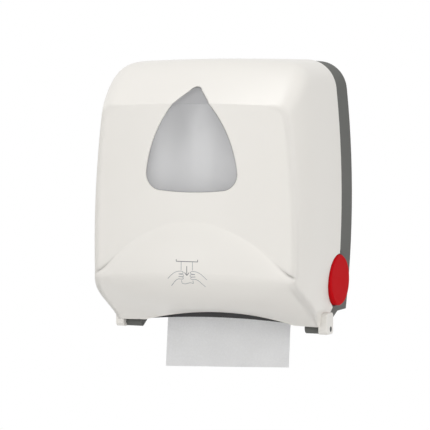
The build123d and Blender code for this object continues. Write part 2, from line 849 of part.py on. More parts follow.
def latch_strike():
    """The bent strip on the back wall that the latch hooks behind."""
    across = (strike_near_x, strike_far_x)
    hook_depth = lock_depth + latch_width / 2 + 0.5
    top = strike_z + strike_sheet
    foot = block(across, (flange_depth, flange_depth + strike_sheet), (strike_z - strike_foot, top))
    arm = block(across, (flange_depth, hook_depth + strike_sheet), (strike_z, top))
    hook_top = lock_housing_bottom - 1.5
    hook = block(across, (hook_depth, hook_depth + strike_sheet), (strike_z, hook_top))
    x, z = strike_screw_place()
    return foot + arm + hook - pin_into_wall(screw_radius + screw_hole_gap, x, z, flange_depth * 2, 0)


def strike_screw_place():
    """(x, z) of the screw through the strike's foot."""
    return (strike_near_x + strike_far_x) / 2, strike_z - strike_foot / 2


def hinge_pins():
    """The two steel pins through the lugs and the cover's ears."""
    pin = rod(hinge_pin_radius, lug_inner_x + 4.5, ear_outer_x - 0.2, hinge_axis)
    return Compound(children=[pin, mirrored(pin)])


# ---------------------------------------------------------------- paper


def roll_tangent():
    """Direction of the sheet from the roll to the drum, in degrees."""
    reach = math.dist(roll_axis, drum_axis)
    radii = roll_radius + paper_gap + web_thickness / 2 + web_radius
    return turn_of(roll_axis, drum_axis) + math.degrees(math.asin(radii / reach))


def paper_side(shift):
    """One side of the sheet's path: off the roll, round the drum, over into the slot."""
    run = roll_tangent()
    roll_side = roll_radius + paper_gap + web_thickness / 2 + shift
    drum_side = web_radius - shift
    wrap = arc_about(drum_axis, drum_side, run + 90, -90)
    fall = (drum_depth, drum_z - web_radius - tail_bend)
    bend = arc_about(fall, tail_bend + shift, 90, 180 - tail_lean)
    return Line(point(polar(roll_axis, roll_side, run - 90)), wrap @ 0), wrap, bend


def paper_web():
    """The sheet between the roll and the slot."""
    half = web_thickness / 2
    upper = paper_side(half)
    lower = paper_side(-half)
    ends = [Line(upper[0] @ 0, lower[0] @ 0), Line(upper[2] @ 1, lower[2] @ 1)]
    face = Face(Wire([*upper, *lower, *ends]))
    return along_x(face, -roll_half_width, roll_half_width)


def paper_tail():
    """The sheet that hangs out of the slot."""
    half = web_thickness / 2
    near = paper_side(half)[2] @ 1
    away = paper_side(-half)[2] @ 1
    lean = math.radians(tail_lean)
    length = (near.Z - tail_end_z) / math.cos(lean)
    down = Vector(0, -math.sin(lean), -math.cos(lean)) * length
    face = Face(Wire.make_polygon([near, away, away + down, near + down]))
    return along_x(face, -roll_half_width, roll_half_width)


def paper_roll():
    """The wound paper."""
    return tube(roll_radius, core_radius + 0.1, -roll_half_width, roll_half_width, roll_axis)


def roll_core():
    """The cardboard tube in the roll."""
    return tube(core_radius, core_radius - core_wall, -roll_half_width, roll_half_width, roll_axis)


def roll_hub():
    """The right-hand hub: a cup in the core, a flange and an axle in the arm's eye."""
    plug = core_radius - core_wall - 0.2
    seat = roll_half_width + 0.2
    hub = tube(plug, plug - 2, seat - hub_plug_length, seat, roll_axis)
    hub = hub + rod(hub_flange_radius, seat, seat + hub_flange, roll_axis)
    axle_end = arm_inner_x + arm_thickness + 2
    return hub + rod(roll_axle_radius, seat, axle_end, roll_axis)


# ---------------------------------------------------------------- drum


def drum_tube():
    """The drum's whole shell, with its knife slot and the seats of the grip strips."""
    shell = tube(shell_radius, shell_radius - drum_skin, -drum_half_width, drum_half_width, drum_axis)
    slot = along_x(sector(drum_axis, far, knife_slot_from, knife_slot_to), -cap_inner_x, cap_inner_x)
    shell = shell - slot
    for turn in grip_strip_turns:
        shell = shell - grip_strip(turn, shell_radius - grip_seat, shell_radius + 5, 0.1)
    return shell


def grip_strip(turn, inner, outer, grow):
    """One rubber strip along the drum, or the seat cut for it."""
    half = grip_strip_width / 2 + math.degrees(grow / drum_radius)
    reach = roll_half_width + grow
    ring = rod(outer, -reach, reach, drum_axis) - rod(inner, -far, far, drum_axis)
    return ring & along_x(sector(drum_axis, far, turn - half, turn + half), -far, far)


def grip_strips():
    """The rubber strips that pull the sheet."""
    inner = shell_radius - grip_seat
    return Compound(children=[grip_strip(turn, inner, drum_radius, 0) for turn in grip_strip_turns])


def knife_pivot():
    """(depth, z) of the knife's pivot at rest."""
    return polar(drum_axis, knife_pivot_radius, knife_pivot_turn)


def knife_tip():
    """(depth, z) of the blade's tip at rest."""
    return polar(drum_axis, knife_tip_radius, knife_tip_turn)


def blade_turn():
    """Direction of the blade from its pivot, in degrees."""
    return turn_of(knife_pivot(), knife_tip())


def follower_place():
    """(depth, z) of the cam follower at rest."""
    return polar(knife_pivot(), follower_arm, blade_turn() + follower_turn)


def drum_cap(side):
    """An end cap with its journal. The right one has a window for the cam follower."""
    outer_x = cap_inner_x + cap_thickness
    cap = rod(shell_radius - drum_skin - 0.05, cap_inner_x, outer_x, drum_axis)
    if side > 0:
        journal_end = frame_outer_x + bush_flange + 3
    else:
        journal_end = crank_disc_x + crank_disc_thickness
    cap = cap + rod(journal_radius, outer_x, journal_end, drum_axis)
    cap = cap - rod(knife_pin_radius + knife_fit, 0, far, knife_pivot())
    if side > 0:
        cap = cap - rod(drive_shaft_radius + 0.05, 0, far, drum_axis)
        first = blade_turn() + follower_turn - follower_travel - 13
        last = blade_turn() + follower_turn + 13
        path = tube(follower_arm + 3.2, follower_arm - 3.2, 0, far, knife_pivot())
        return cap - (path & along_x(sector(knife_pivot(), far, first, last), 0, far))
    return mirrored(cap)


def drive_shaft():
    """The steel shaft from the right-hand cap to the feed knob."""
    return rod(drive_shaft_radius, cap_inner_x, knob_face_x - knob_skin - 1.5, drum_axis)


def shaft_clip():
    """The clip that keeps the shaft in place behind the dish."""
    return tube(8.5, drive_shaft_radius + 0.05, dish_x - 2.2, dish_x - 0.8, drum_axis)


def feed_knob():
    """The round knob: a flat face with a bevelled rim, a hub and ribs behind."""
    knob = rod(knob_radius, knob_back_x, knob_face_x, drum_axis)
    knob = chamfer(knob.faces().sort_by(Axis.X)[-1].edges(), knob_bevel)
    inner_x = knob_face_x - knob_skin
    hollow = tube(knob_radius - knob_skin, knob_hub_radius, knob_back_x - 1, inner_x, drum_axis)
    for i in range(6):
        rib = block((knob_back_x + 2, inner_x), (-1, 1), (0, knob_radius))
        rib = rib.moved(Location((0, 0, 0), (60 * i, 0, 0)))
        hollow = hollow - rib.moved(Location(point(drum_axis)))
    knob = knob - hollow
    return knob - rod(drive_shaft_radius + 0.05, 0, inner_x - 1.4, drum_axis)


def crank_place():
    """(depth, z) of the crank pin at rest, nearest to the spring's post."""
    return polar(drum_axis, crank_throw, turn_of(drum_axis, post_place()))


def post_place():
    """(depth, z) of the return spring's post."""
    return drum_depth - spring_post_back, drum_z + spring_post_rise


def crank_disc():
    """The disc on the left-hand journal with the pin that the spring pulls."""
    start = -crank_disc_x
    disc = tube(crank_disc_radius, journal_radius + 0.05, start - crank_disc_thickness, start, drum_axis)
    pin_end = -spring_x - spring_radius
    return disc + rod(crank_pin_radius, start - crank_disc_thickness, pin_end, crank_place())


def spring_post():
    """The fixed post on the left-hand side frame."""
    pin = rod(crank_pin_radius, -frame_outer_x, -spring_x - spring_radius, post_place())
    return pin + rod(6.0, -frame_outer_x, -frame_outer_x - 3, post_place())


def return_spring():
    """The extension spring as a plain bar with an eye at each end."""
    ends = (post_place(), crank_place())
    length = math.dist(*ends)
    eye = crank_pin_radius + 0.4 + spring_wire / 2
    body = Cylinder(spring_radius, length - 2 * eye - 0.4)
    tilt = turn_of(*ends)
    middle = ((ends[0][0] + ends[1][0]) / 2, (ends[0][1] + ends[1][1]) / 2)
    spring = body.moved(Location(point(middle, -spring_x), (tilt - 90, 0, 0)))
    for end in ends:
        ring = Torus(eye, spring_wire / 2).moved(Location(point(end, -spring_x), (0, 90, 0)))
        spring = spring + ring
    return spring


# ---------------------------------------------------------------- knife


def knife_frame_face(corners):
    """A face from (along, across) corners, where along runs from the pivot to the tip."""
    turn = blade_turn()
    start = knife_pivot()
    places = [polar(polar(start, along, turn), across, turn + 90) for along, across in corners]
    return yz(places)


def knife_carrier():
    """The swinging carrier: a pivot barrel, a plate under the blade and the follower's arm."""
    half = carrier_half_width
    plate = knife_frame_face([(0, 0), (carrier_reach, 0),
                              (carrier_reach, carrier_thickness), (0, carrier_thickness)])
    carrier = along_x(plate, -half, half) + rod(carrier_barrel_radius, -half, half, knife_pivot())
    pin_end = cap_inner_x + cap_thickness - knife_end_gap
    carrier = carrier + rod(knife_pin_radius, -pin_end, pin_end, knife_pivot())
    turn = blade_turn() + follower_turn
    sides = [polar(knife_pivot(), cheek_half_width, turn + a) for a in (-90, 90)]
    sides += [polar(follower_place(), cheek_half_width, turn + a) for a in (90, -90)]
    cheek_x = half - cheek_thickness
    cheek = along_x(yz(sides), cheek_x, half) + rod(cheek_half_width, cheek_x, half, follower_place())
    root = blade_root - knife_end_gap
    notch = knife_frame_face([(root, 0), (far, 0), (far, -far), (root, -far)])
    carrier = carrier + (cheek - along_x(notch, 0, far))
    for x in blade_screw_places():
        carrier = carrier - blade_screw_hole(x)
    return carrier


def blade_screw_places():
    """X of each blade screw."""
    return [blade_screw_pitch * (i - 1.5) for i in range(4)]


def across_blade(x, radius, low, high):
    """A round bar square to the blade at a blade screw, between two heights above its face."""
    foot = polar(knife_pivot(), blade_screw_reach, blade_turn())
    middle = polar(foot, (low + high) / 2, blade_turn() + 90)
    return Cylinder(radius, high - low).moved(Location(point(middle, x), (blade_turn(), 0, 0)))


def blade_screw_hole(x):
    """The hole for a blade screw through the blade and its carrier."""
    reach = 4 * carrier_thickness
    return across_blade(x, screw_radius + screw_hole_gap, -reach, reach)


def blade_screws():
    """The screws that hold the blade on its carrier."""
    screws = []
    for x in blade_screw_places():
        head = across_blade(x, blade_screw_head_radius, -blade_thickness - blade_screw_head, -blade_thickness)
        screws.append(head + across_blade(x, screw_radius, -blade_thickness, carrier_thickness))
    return Compound(children=screws)


def knife_blade():
    """The steel blade with its row of teeth."""
    length = math.dist(knife_pivot(), knife_tip())
    strip = knife_frame_face([(blade_root, 0), (length, 0), (length, -blade_thickness),
                              (blade_root, -blade_thickness)])
    half = carrier_half_width
    blade = along_x(strip, -half, half)
    count = int(2 * half / tooth_pitch)
    pitch = 2 * half / count
    turn = blade_turn()
    normal = Vector(0, math.cos(math.radians(turn + 90)), math.sin(math.radians(turn + 90)))
    outer = point(polar(knife_pivot(), length + 1, turn))
    inner = point(polar(knife_pivot(), length - tooth_depth, turn))
    gaps = []
    for i in range(count + 1):
        x = -half + pitch * i
        corners = [outer + Vector(x - pitch / 2 - 0.6, 0, 0), outer + Vector(x + pitch / 2 + 0.6, 0, 0),
                   inner + Vector(x, 0, 0)]
        face = Face(Wire.make_polygon([c + normal * 2 for c in corners]))
        gaps.append(extrude(face, 6, dir=normal * -1))
    blade = blade - gaps
    for x in blade_screw_places():
        blade = blade - blade_screw_hole(x)
    return blade


def cam_follower():
    """The pin on the carrier's right-hand cheek with its roller, which runs in the cam ring."""
    end = frame_inner_x - 1.2
    pin = rod(follower_pin_radius, carrier_half_width, end, follower_place())
    return pin + rod(follower_roller_radius, end - 2.5, end, follower_place())


def cam_ring():
    """The track on the right-hand frame. It is wide enough for the knife in and out."""
    place = follower_place()
    inside = math.dist(drum_axis, place)
    swung = polar(knife_pivot(), follower_arm, blade_turn() + follower_turn - follower_travel)
    outside = math.dist(drum_axis, swung)
    low = min(inside, outside) - follower_roller_radius - 0.5
    high = max(inside, outside) + follower_roller_radius + 0.5
    base_x = frame_inner_x - 0.8
    ring = tube(high + 2, bush_radius + 0.3, base_x, frame_inner_x, drum_axis)
    rim_x = base_x - 2.8
    ring = ring + tube(high + 2, high, rim_x, base_x, drum_axis)
    return ring + tube(low, bush_radius + 0.3, rim_x, base_x, drum_axis)


# ---------------------------------------------------------------- pinch roller


def pinch_place():
    """(depth, z) of the pinch roller's axis."""
    return polar(drum_axis, pinch_reach, pinch_turn)


def pinch_shaft():
    """The steel shaft, held in the slots of both side frames."""
    reach = frame_outer_x + 3
    return rod(pinch_shaft_radius, -reach, reach, pinch_place())


def pinch_sleeves():
    """The rubber sleeves on the pinch shaft."""
    sleeves = []
    for i in range(4):
        middle = pinch_sleeve_pitch * (i - 1.5)
        ends = (middle - pinch_sleeve_length / 2, middle + pinch_sleeve_length / 2)
        sleeves.append(tube(pinch_radius, pinch_shaft_radius + 0.05, *ends, pinch_place()))
    return Compound(children=sleeves)


def pinch_clips():
    """The clips that keep the pinch shaft between the frames."""
    clip = tube(6.5, pinch_shaft_radius + 0.05, frame_outer_x + 0.5, frame_outer_x + 1.7, pinch_place())
    return Compound(children=[clip, mirrored(clip)])


# ---------------------------------------------------------------- the whole dispenser

cover_whole = front_cover()
knob_region = knob_wall_region()
drum_whole = drum_tube()
front_half = block((-far, far), (drum_depth, far), (-far, far))
frame_right = side_frame()
arm_right = roll_arm()
bush_right = drum_bush()
hub_right = roll_hub()

pieces = {
    "front_cover": cover_whole - knob_region,
    "cover_knob_wall": cover_whole & knob_region,
    "window_pane": window_pane(),
    "lock_barrel": lock_barrel(),
    "latch_cam": latch_cam(),
    "lock_nut": lock_nut(),
    "back_plate": back_plate(),
    "right_side_frame": frame_right,
    "left_side_frame": mirrored(frame_right),
    "right_roll_arm": arm_right,
    "left_roll_arm": mirrored(arm_right),
    "frame_screws": screws_into_wall(frame_screw_places()[:2]),
    "arm_screws": screws_into_wall(frame_screw_places()[2:]),
    "paper_guide": paper_guide(),
    "guide_screws": guide_screws(),
    "right_drum_bush": bush_right,
    "left_drum_bush": mirrored(bush_right),
    "cam_ring": cam_ring(),
    "latch_strike": latch_strike(),
    "strike_screw": strike_screw(),
    "hinge_pins": hinge_pins(),
    "spring_post": spring_post(),
    "return_spring": return_spring(),
    "paper_web": paper_web(),
    "paper_tail": paper_tail(),
    "paper_roll": paper_roll(),
    "roll_core": roll_core(),
    "right_roll_hub": hub_right,
    "left_roll_hub": mirrored(hub_right),
    "drum_front_shell": drum_whole & front_half,
    "drum_rear_shell": drum_whole - front_half,
    "right_drum_cap": drum_cap(1),
    "left_drum_cap": drum_cap(-1),
    "drive_shaft": drive_shaft(),
    "shaft_clip": shaft_clip(),
    "feed_knob": feed_knob(),
    "crank_disc": crank_disc(),
    "grip_strips": grip_strips(),
    "knife_carrier": knife_carrier(),
    "knife_blade": knife_blade(),
    "blade_screws": blade_screws(),
    "cam_follower": cam_follower(),
    "pinch_shaft": pinch_shaft(),
    "pinch_sleeves": pinch_sleeves(),
    "pinch_clips": pinch_clips(),
}

os.makedirs("parts", exist_ok=True)
for name, shape in pieces.items():
    export_step(shape, f"parts/{name}.step")
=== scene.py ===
# %% [markdown]
# Looks for a wall-hung roll towel dispenser with a pull-to-cut drum.
# The solids are loaded first and stay where they are. Every later cell gives one of them a
# finish, or builds a finer piece that stands in for one. Sizes are in metres, +Z is up, and the
# wall is the plane Y = 0, with the room on its -Y side.

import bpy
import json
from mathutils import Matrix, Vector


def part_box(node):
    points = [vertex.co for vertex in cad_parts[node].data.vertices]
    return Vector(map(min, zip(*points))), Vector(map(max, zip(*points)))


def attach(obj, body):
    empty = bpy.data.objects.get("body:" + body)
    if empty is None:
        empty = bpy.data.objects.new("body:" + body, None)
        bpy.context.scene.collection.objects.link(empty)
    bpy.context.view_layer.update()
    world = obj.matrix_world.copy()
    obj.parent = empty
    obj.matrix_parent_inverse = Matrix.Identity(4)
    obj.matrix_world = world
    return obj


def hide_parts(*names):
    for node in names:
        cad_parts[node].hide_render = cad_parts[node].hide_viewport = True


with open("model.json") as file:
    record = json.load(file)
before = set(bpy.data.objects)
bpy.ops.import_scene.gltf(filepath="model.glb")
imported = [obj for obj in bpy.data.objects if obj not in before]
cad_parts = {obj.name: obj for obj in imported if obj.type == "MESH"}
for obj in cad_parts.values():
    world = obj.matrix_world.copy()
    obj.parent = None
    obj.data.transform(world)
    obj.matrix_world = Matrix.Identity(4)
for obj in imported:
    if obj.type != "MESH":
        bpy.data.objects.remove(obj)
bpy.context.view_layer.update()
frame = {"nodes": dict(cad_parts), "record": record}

import json
import math

import bmesh
import bpy
from mathutils import Matrix, Vector
from mathutils.bvhtree import BVHTree

MM = 0.001
ALONG_X = Vector((1.0, 0.0, 0.0))
scene = bpy.context.scene
nodes = frame["nodes"]

# %% [markdown]
# The camera stands low and to the right, a long way off, so that upright edges stay upright.
# A long lens gives that flat view; a short lens close by would splay the sides.

# %% Camera
CAMERA_PLACE = Vector((1.3775, -3.1853, 0.1225))
CAMERA_YAW = math.radians(24.2)
CAMERA_PITCH = math.radians(2.87)
CAMERA_LENS = 191.8
CAMERA_SENSOR = 36.0


def add_object(name, data):
    """A new object with its data, in the scene."""
    thing = bpy.data.objects.new(name, data)
    scene.collection.objects.link(thing)
    return thing


def aim(thing, forward):
    """Turn a camera or a lamp so that it looks along a direction."""
    thing.rotation_euler = forward.to_track_quat("-Z", "Y").to_euler()


camera = add_object("camera", bpy.data.cameras.new("camera"))
camera.data.lens = CAMERA_LENS
camera.data.sensor_width = CAMERA_SENSOR
camera.location = CAMERA_PLACE
aim(camera, Vector((
    -math.sin(CAMERA_YAW) * math.cos(CAMERA_PITCH),
    math.cos(CAMERA_YAW) * math.cos(CAMERA_PITCH),
    -math.sin(CAMERA_PITCH))))
scene.camera = camera
print("camera turned, radians:", tuple(round(v, 3) for v in camera.rotation_euler))

# %% [markdown]
# Every finish below is a small graph of nodes. These helpers keep the graphs short: they add a
# node, join a value to a socket, do a sum, turn a value into a smooth ramp, make soft patches,
# shade a colour and blend two colours. The last one starts a group with named sockets. The same
# graphs could be drawn by hand in the shader editor; in a script each step stays one short line.

# %% Helpers for node graphs


def add_node(tree, kind, **settings):
    """A new node with some of its settings."""
    node = tree.nodes.new(kind)
    for name, value in settings.items():
        setattr(node, name, value)
    return node


def feed(tree, socket, value):
    """Join an output to a socket, or set the socket's own value."""
    if isinstance(value, bpy.types.NodeSocket):
        tree.links.new(value, socket)
    else:
        socket.default_value = value


def sum_of(tree, operation, first, second, clamp=False):
    """One step of arithmetic between two outputs or numbers."""
    node = add_node(tree, "ShaderNodeMath", operation=operation, use_clamp=clamp)
    feed(tree, node.inputs[0], first)
    feed(tree, node.inputs[1], second)
    return node.outputs[0]


def ramp(tree, value, start, end, low, high):
    """A number that goes smoothly from low to high as a value goes from start to end."""
    node = add_node(tree, "ShaderNodeMapRange", interpolation_type="SMOOTHSTEP")
    feed(tree, node.inputs["Value"], value)
    node.inputs["From Min"].default_value = start
    node.inputs["From Max"].default_value = end
    node.inputs["To Min"].default_value = low
    node.inputs["To Max"].default_value = high
    return node.outputs[0]


def mottle(tree, place, scale, detail=2.0):
    """Soft random patches, from 0 to 1."""
    noise = add_node(tree, "ShaderNodeTexNoise")
    feed(tree, noise.inputs["Vector"], place)
    feed(tree, noise.inputs["Scale"], scale)
    noise.inputs["Detail"].default_value = detail
    return noise.outputs[0]


def about_zero(tree, mask, amount):
    """A mask from 0 to 1, turned into a swing of plus or minus an amount."""
    swing = sum_of(tree, "SUBTRACT", mask, 0.5)
    return sum_of(tree, "MULTIPLY", sum_of(tree, "MULTIPLY", swing, 2.0), amount)


def brighten(tree, colour, swing):
    """A colour made lighter or darker by a swing about zero."""
    shade = add_node(tree, "ShaderNodeHueSaturation")
    feed(tree, shade.inputs["Value"], sum_of(tree, "ADD", swing, 1.0))
    feed(tree, shade.inputs["Color"], colour)
    return shade.outputs[0]


def blend_colours(tree, mask, first, second):
    """The first colour where a mask is 0, the second where it is 1."""
    mix = add_node(tree, "ShaderNodeMix", data_type="RGBA")
    feed(tree, mix.inputs[0], mask)
    feed(tree, mix.inputs[6], first)
    feed(tree, mix.inputs[7], second)
    return mix.outputs[2]


def new_group(name, inputs, outputs):
    """An empty node group with named sockets, its inlet and its outlet."""
    group = bpy.data.node_groups.new(name, "ShaderNodeTree")
    for label, kind, value in inputs:
        socket = group.interface.new_socket(label, in_out="INPUT", socket_type=kind)
        socket.default_value = value
    for label, kind in outputs:
        group.interface.new_socket(label, in_out="OUTPUT", socket_type=kind)
    inlet = group.nodes.new("NodeGroupInput")
    outlet = group.nodes.new("NodeGroupOutput")
    return group, inlet.outputs, outlet.inputs


NUMBER = "NodeSocketFloat"
COLOUR = "NodeSocketColor"
PLACE = "NodeSocketVector"
print("node helpers ready")

# %% [markdown]
# Moulded plastic is never one flat colour. Its tone drifts slowly over the part, the mould leaves
# a fine grain, and dust settles where a face looks up. It could be painted on by hand, but a
# pattern made from the place in space needs no unwrapping. All the plastics share this effect, so
# it is one group, and each plastic sets its own amounts.

# %% Group: moulded skin
SLOW_PATCHES = 8.0
RUBBED_PATCHES = 46.0
LEVEL_ENOUGH = 0.7
DUST_COLOUR = (0.55, 0.53, 0.5, 1.0)
moulded_skin, inlet, outlet = new_group(
    "moulded skin",
    [("Colour", COLOUR, (0.8, 0.8, 0.8, 1.0)), ("Tone drift", NUMBER, 0.02),
     ("Grain per metre", NUMBER, 1500.0), ("Roughness", NUMBER, 0.4),
     ("Roughness drift", NUMBER, 0.05), ("Dust", NUMBER, 0.05)],
    [("Colour", COLOUR), ("Roughness", NUMBER), ("Height", NUMBER)])
tree = moulded_skin
spot = add_node(tree, "ShaderNodeTexCoord")
slow = mottle(tree, spot.outputs["Object"], SLOW_PATCHES)
rubbed = mottle(tree, spot.outputs["Object"], RUBBED_PATCHES, 4.0)
facing = add_node(tree, "ShaderNodeSeparateXYZ")
feed(tree, facing.inputs[0], spot.outputs["Normal"])
upward = ramp(tree, facing.outputs["Z"], LEVEL_ENOUGH, 1.0, 0.0, 1.0)
settled = sum_of(tree, "MULTIPLY", upward, rubbed)
settled = sum_of(tree, "MULTIPLY", settled, inlet["Dust"])
toned = brighten(tree, inlet["Colour"], about_zero(tree, slow, inlet["Tone drift"]))
feed(tree, outlet["Colour"], blend_colours(tree, settled, toned, DUST_COLOUR))
polish = about_zero(tree, rubbed, inlet["Roughness drift"])
polish = sum_of(tree, "ADD", polish, inlet["Roughness"])
feed(tree, outlet["Roughness"], sum_of(tree, "ADD", polish, settled, clamp=True))
feed(tree, outlet["Height"], mottle(tree, spot.outputs["Object"], inlet["Grain per metre"], 1.0))
print("group:", moulded_skin.name)

# %% [markdown]
# Drawn wire, rolled strip and turned pins carry fine lines along one direction. The lines come
# from noise that is squeezed across that direction, so the group takes the squeeze as a vector. A
# wave texture would be simpler, but its lines all stand the same width apart.

# %% Group: drawn metal
STAIN_PATCHES = 60.0
LINE_TONE = 0.12
STAIN_TONE = 0.08
STAIN_DULLING = 0.1
drawn_metal, inlet, outlet = new_group(
    "drawn metal",
    [("Colour", COLOUR, (0.55, 0.55, 0.55, 1.0)),
     ("Lines per metre", PLACE, (120.0, 4000.0, 4000.0)), ("Roughness", NUMBER, 0.3)],
    [("Colour", COLOUR), ("Roughness", NUMBER), ("Height", NUMBER)])
tree = drawn_metal
spot = add_node(tree, "ShaderNodeTexCoord")
squeeze = add_node(tree, "ShaderNodeVectorMath", operation="MULTIPLY")
feed(tree, squeeze.inputs[0], spot.outputs["Object"])
feed(tree, squeeze.inputs[1], inlet["Lines per metre"])
lines = mottle(tree, squeeze.outputs[0], 1.0, 3.0)
stain = mottle(tree, spot.outputs["Object"], STAIN_PATCHES, 3.0)
toned = brighten(tree, inlet["Colour"], about_zero(tree, lines, LINE_TONE))
feed(tree, outlet["Colour"], brighten(tree, toned, about_zero(tree, stain, STAIN_TONE)))
polish = sum_of(tree, "ADD", inlet["Roughness"], about_zero(tree, stain, STAIN_DULLING))
feed(tree, outlet["Roughness"], polish)
feed(tree, outlet["Height"], lines)
print("group:", drawn_metal.name)

# %% [markdown]
# Towel paper is soft crepe: short fibres, and a pattern of small pressed dimples. Board has the
# same fibres with no dimples. One group serves both, with the share of dimples as an input. The
# dimples could be modelled, but thousands of them cost far less as a height in the shading. Their
# pits are also painted a little darker: a painted shade for the shadow inside each hollow.

# %% Group: pressed fibre
CLOUD_PATCHES = 30.0
PIT_PAINTED_SHADE = 0.05
FIBRE_HEIGHT = 0.35
pressed_fibre, inlet, outlet = new_group(
    "pressed fibre",
    [("Colour", COLOUR, (0.8, 0.8, 0.8, 1.0)), ("Tone drift", NUMBER, 0.04),
     ("Fibres per metre", NUMBER, 2600.0), ("Dimples per metre", NUMBER, 420.0),
     ("Dimple share", NUMBER, 0.7)],
    [("Colour", COLOUR), ("Height", NUMBER)])
tree = pressed_fibre
spot = add_node(tree, "ShaderNodeTexCoord")
fibre = mottle(tree, spot.outputs["Object"], inlet["Fibres per metre"], 3.0)
cloud = mottle(tree, spot.outputs["Object"], CLOUD_PATCHES, 3.0)
cells = add_node(tree, "ShaderNodeTexVoronoi", feature="SMOOTH_F1")
feed(tree, cells.inputs["Vector"], spot.outputs["Object"])
feed(tree, cells.inputs["Scale"], inlet["Dimples per metre"])
dimples = sum_of(tree, "MULTIPLY", cells.outputs["Distance"], inlet["Dimple share"])
toned = brighten(tree, inlet["Colour"], about_zero(tree, cloud, inlet["Tone drift"]))
# The pits are painted darker: painted shade inside the dimples' hollows.
painted_pit_shade = about_zero(tree, cells.outputs["Distance"], PIT_PAINTED_SHADE)
painted_pit_shade = sum_of(tree, "MULTIPLY", painted_pit_shade, inlet["Dimple share"])
feed(tree, outlet["Colour"], brighten(tree, toned, painted_pit_shade))
fibre_relief = sum_of(tree, "MULTIPLY", fibre, FIBRE_HEIGHT)
feed(tree, outlet["Height"], sum_of(tree, "ADD", dimples, fibre_relief))
print("group:", pressed_fibre.name)

# %% [markdown]
# A roll and its board tube show their windings at the ends, as fine rings round the axle. Each
# ring's shade depends only on its distance from that axle, so the group measures that distance and
# reads noise along it. A rings texture would space them evenly, which wound paper never is.

# %% Group: windings
roll_low, roll_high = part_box("paper_roll")
roll_axle = (roll_low + roll_high) / 2
windings, inlet, outlet = new_group(
    "windings",
    [("Axle", PLACE, tuple(roll_axle)), ("Windings per metre", NUMBER, 1400.0)],
    [("Rings", NUMBER)])
tree = windings
spot = add_node(tree, "ShaderNodeTexCoord")
offset = add_node(tree, "ShaderNodeVectorMath", operation="SUBTRACT")
feed(tree, offset.inputs[0], spot.outputs["Object"])
feed(tree, offset.inputs[1], inlet["Axle"])
flat = add_node(tree, "ShaderNodeVectorMath", operation="MULTIPLY")
feed(tree, flat.inputs[0], offset.outputs[0])
flat.inputs[1].default_value = (0.0, 1.0, 1.0)
radius = add_node(tree, "ShaderNodeVectorMath", operation="LENGTH")
feed(tree, radius.inputs[0], flat.outputs[0])
ring = add_node(tree, "ShaderNodeTexNoise", noise_dimensions="1D")
feed(tree, ring.inputs["W"], radius.outputs["Value"])
feed(tree, ring.inputs["Scale"], inlet["Windings per metre"])
feed(tree, outlet["Rings"], ring.outputs[0])
print("group:", windings.name, "round", tuple(round(v, 4) for v in roll_axle))

# %% [markdown]
# Each finish is one material. It places the groups, sets their amounts, and hands what changes
# over the surface to the shader. What is the same all over stays on the shader's own sockets.
# The cover's corners are rounded in the shading alone: crisp in its middle, and wide where its
# front turns into its sides. Behind the turn, towards the wall, that rounding fades out.

# %% Material makers
CRISP_UNTIL_X = 0.1
WIDE_FROM_X = 0.148
CRISP_CORNER = 2.5 * MM
WIDE_CORNER = 14.0 * MM
ROUNDED_UNTIL_Y = -0.127
PLAIN_FROM_Y = -0.104
CORNER_SAMPLES = 8
METAL_LINE_DEPTH = 0.01 * MM


def new_material(name):
    """A material, its node tree and its shader."""
    material = bpy.data.materials.new(name)
    material.use_nodes = True
    tree = material.node_tree
    return material, tree, tree.nodes["Principled BSDF"]


def place_group(tree, group, values):
    """A group in a material, with its own amounts."""
    node = add_node(tree, "ShaderNodeGroup", node_tree=group)
    for label, value in values.items():
        node.inputs[label].default_value = value
    return node.outputs


def relief(tree, shader, height, depth):
    """Raise the surface a little by a height pattern, in the shading only."""
    bump = add_node(tree, "ShaderNodeBump")
    bump.inputs["Distance"].default_value = depth
    feed(tree, bump.inputs["Height"], height)
    feed(tree, shader.inputs["Normal"], bump.outputs[0])
    return bump


def soften_corners(tree, bump):
    """Round the cover's front corners: crisp in its middle, wide towards its sides."""
    spot = add_node(tree, "ShaderNodeTexCoord")
    split = add_node(tree, "ShaderNodeSeparateXYZ")
    feed(tree, split.inputs[0], spot.outputs["Object"])
    aside = add_node(tree, "ShaderNodeMath", operation="ABSOLUTE")
    feed(tree, aside.inputs[0], split.outputs["X"])
    width = ramp(tree, aside.outputs[0], CRISP_UNTIL_X, WIDE_FROM_X, CRISP_CORNER, WIDE_CORNER)
    forward = ramp(tree, split.outputs["Y"], ROUNDED_UNTIL_Y, PLAIN_FROM_Y, 1.0, 0.0)
    bevel = add_node(tree, "ShaderNodeBevel", samples=CORNER_SAMPLES)
    feed(tree, bevel.inputs["Radius"], sum_of(tree, "MULTIPLY", width, forward))
    feed(tree, bump.inputs["Normal"], bevel.outputs[0])


def plastic(name, colour, roughness, drift=0.02, grain=1500.0, depth=0.02 * MM, dust=0.05,
            gloss=0.5, softened=False):
    """A moulded plastic. A softened one has its corners rounded in the shading."""
    material, tree, shader = new_material(name)
    skin = place_group(tree, moulded_skin, {
        "Colour": (*colour, 1.0), "Tone drift": drift, "Grain per metre": grain,
        "Roughness": roughness, "Roughness drift": 0.06, "Dust": dust})
    feed(tree, shader.inputs["Base Color"], skin["Colour"])
    feed(tree, shader.inputs["Roughness"], skin["Roughness"])
    bump = relief(tree, shader, skin["Height"], depth)
    if softened:
        soften_corners(tree, bump)
    shader.inputs["Specular IOR Level"].default_value = gloss
    return material


def metal(name, colour, roughness, lines):
    """A bright metal with fine lines along one direction."""
    material, tree, shader = new_material(name)
    drawn = place_group(tree, drawn_metal, {
        "Colour": (*colour, 1.0), "Roughness": roughness, "Lines per metre": lines})
    shader.inputs["Metallic"].default_value = 1.0
    feed(tree, shader.inputs["Base Color"], drawn["Colour"])
    feed(tree, shader.inputs["Roughness"], drawn["Roughness"])
    relief(tree, shader, drawn["Height"], METAL_LINE_DEPTH)
    return material


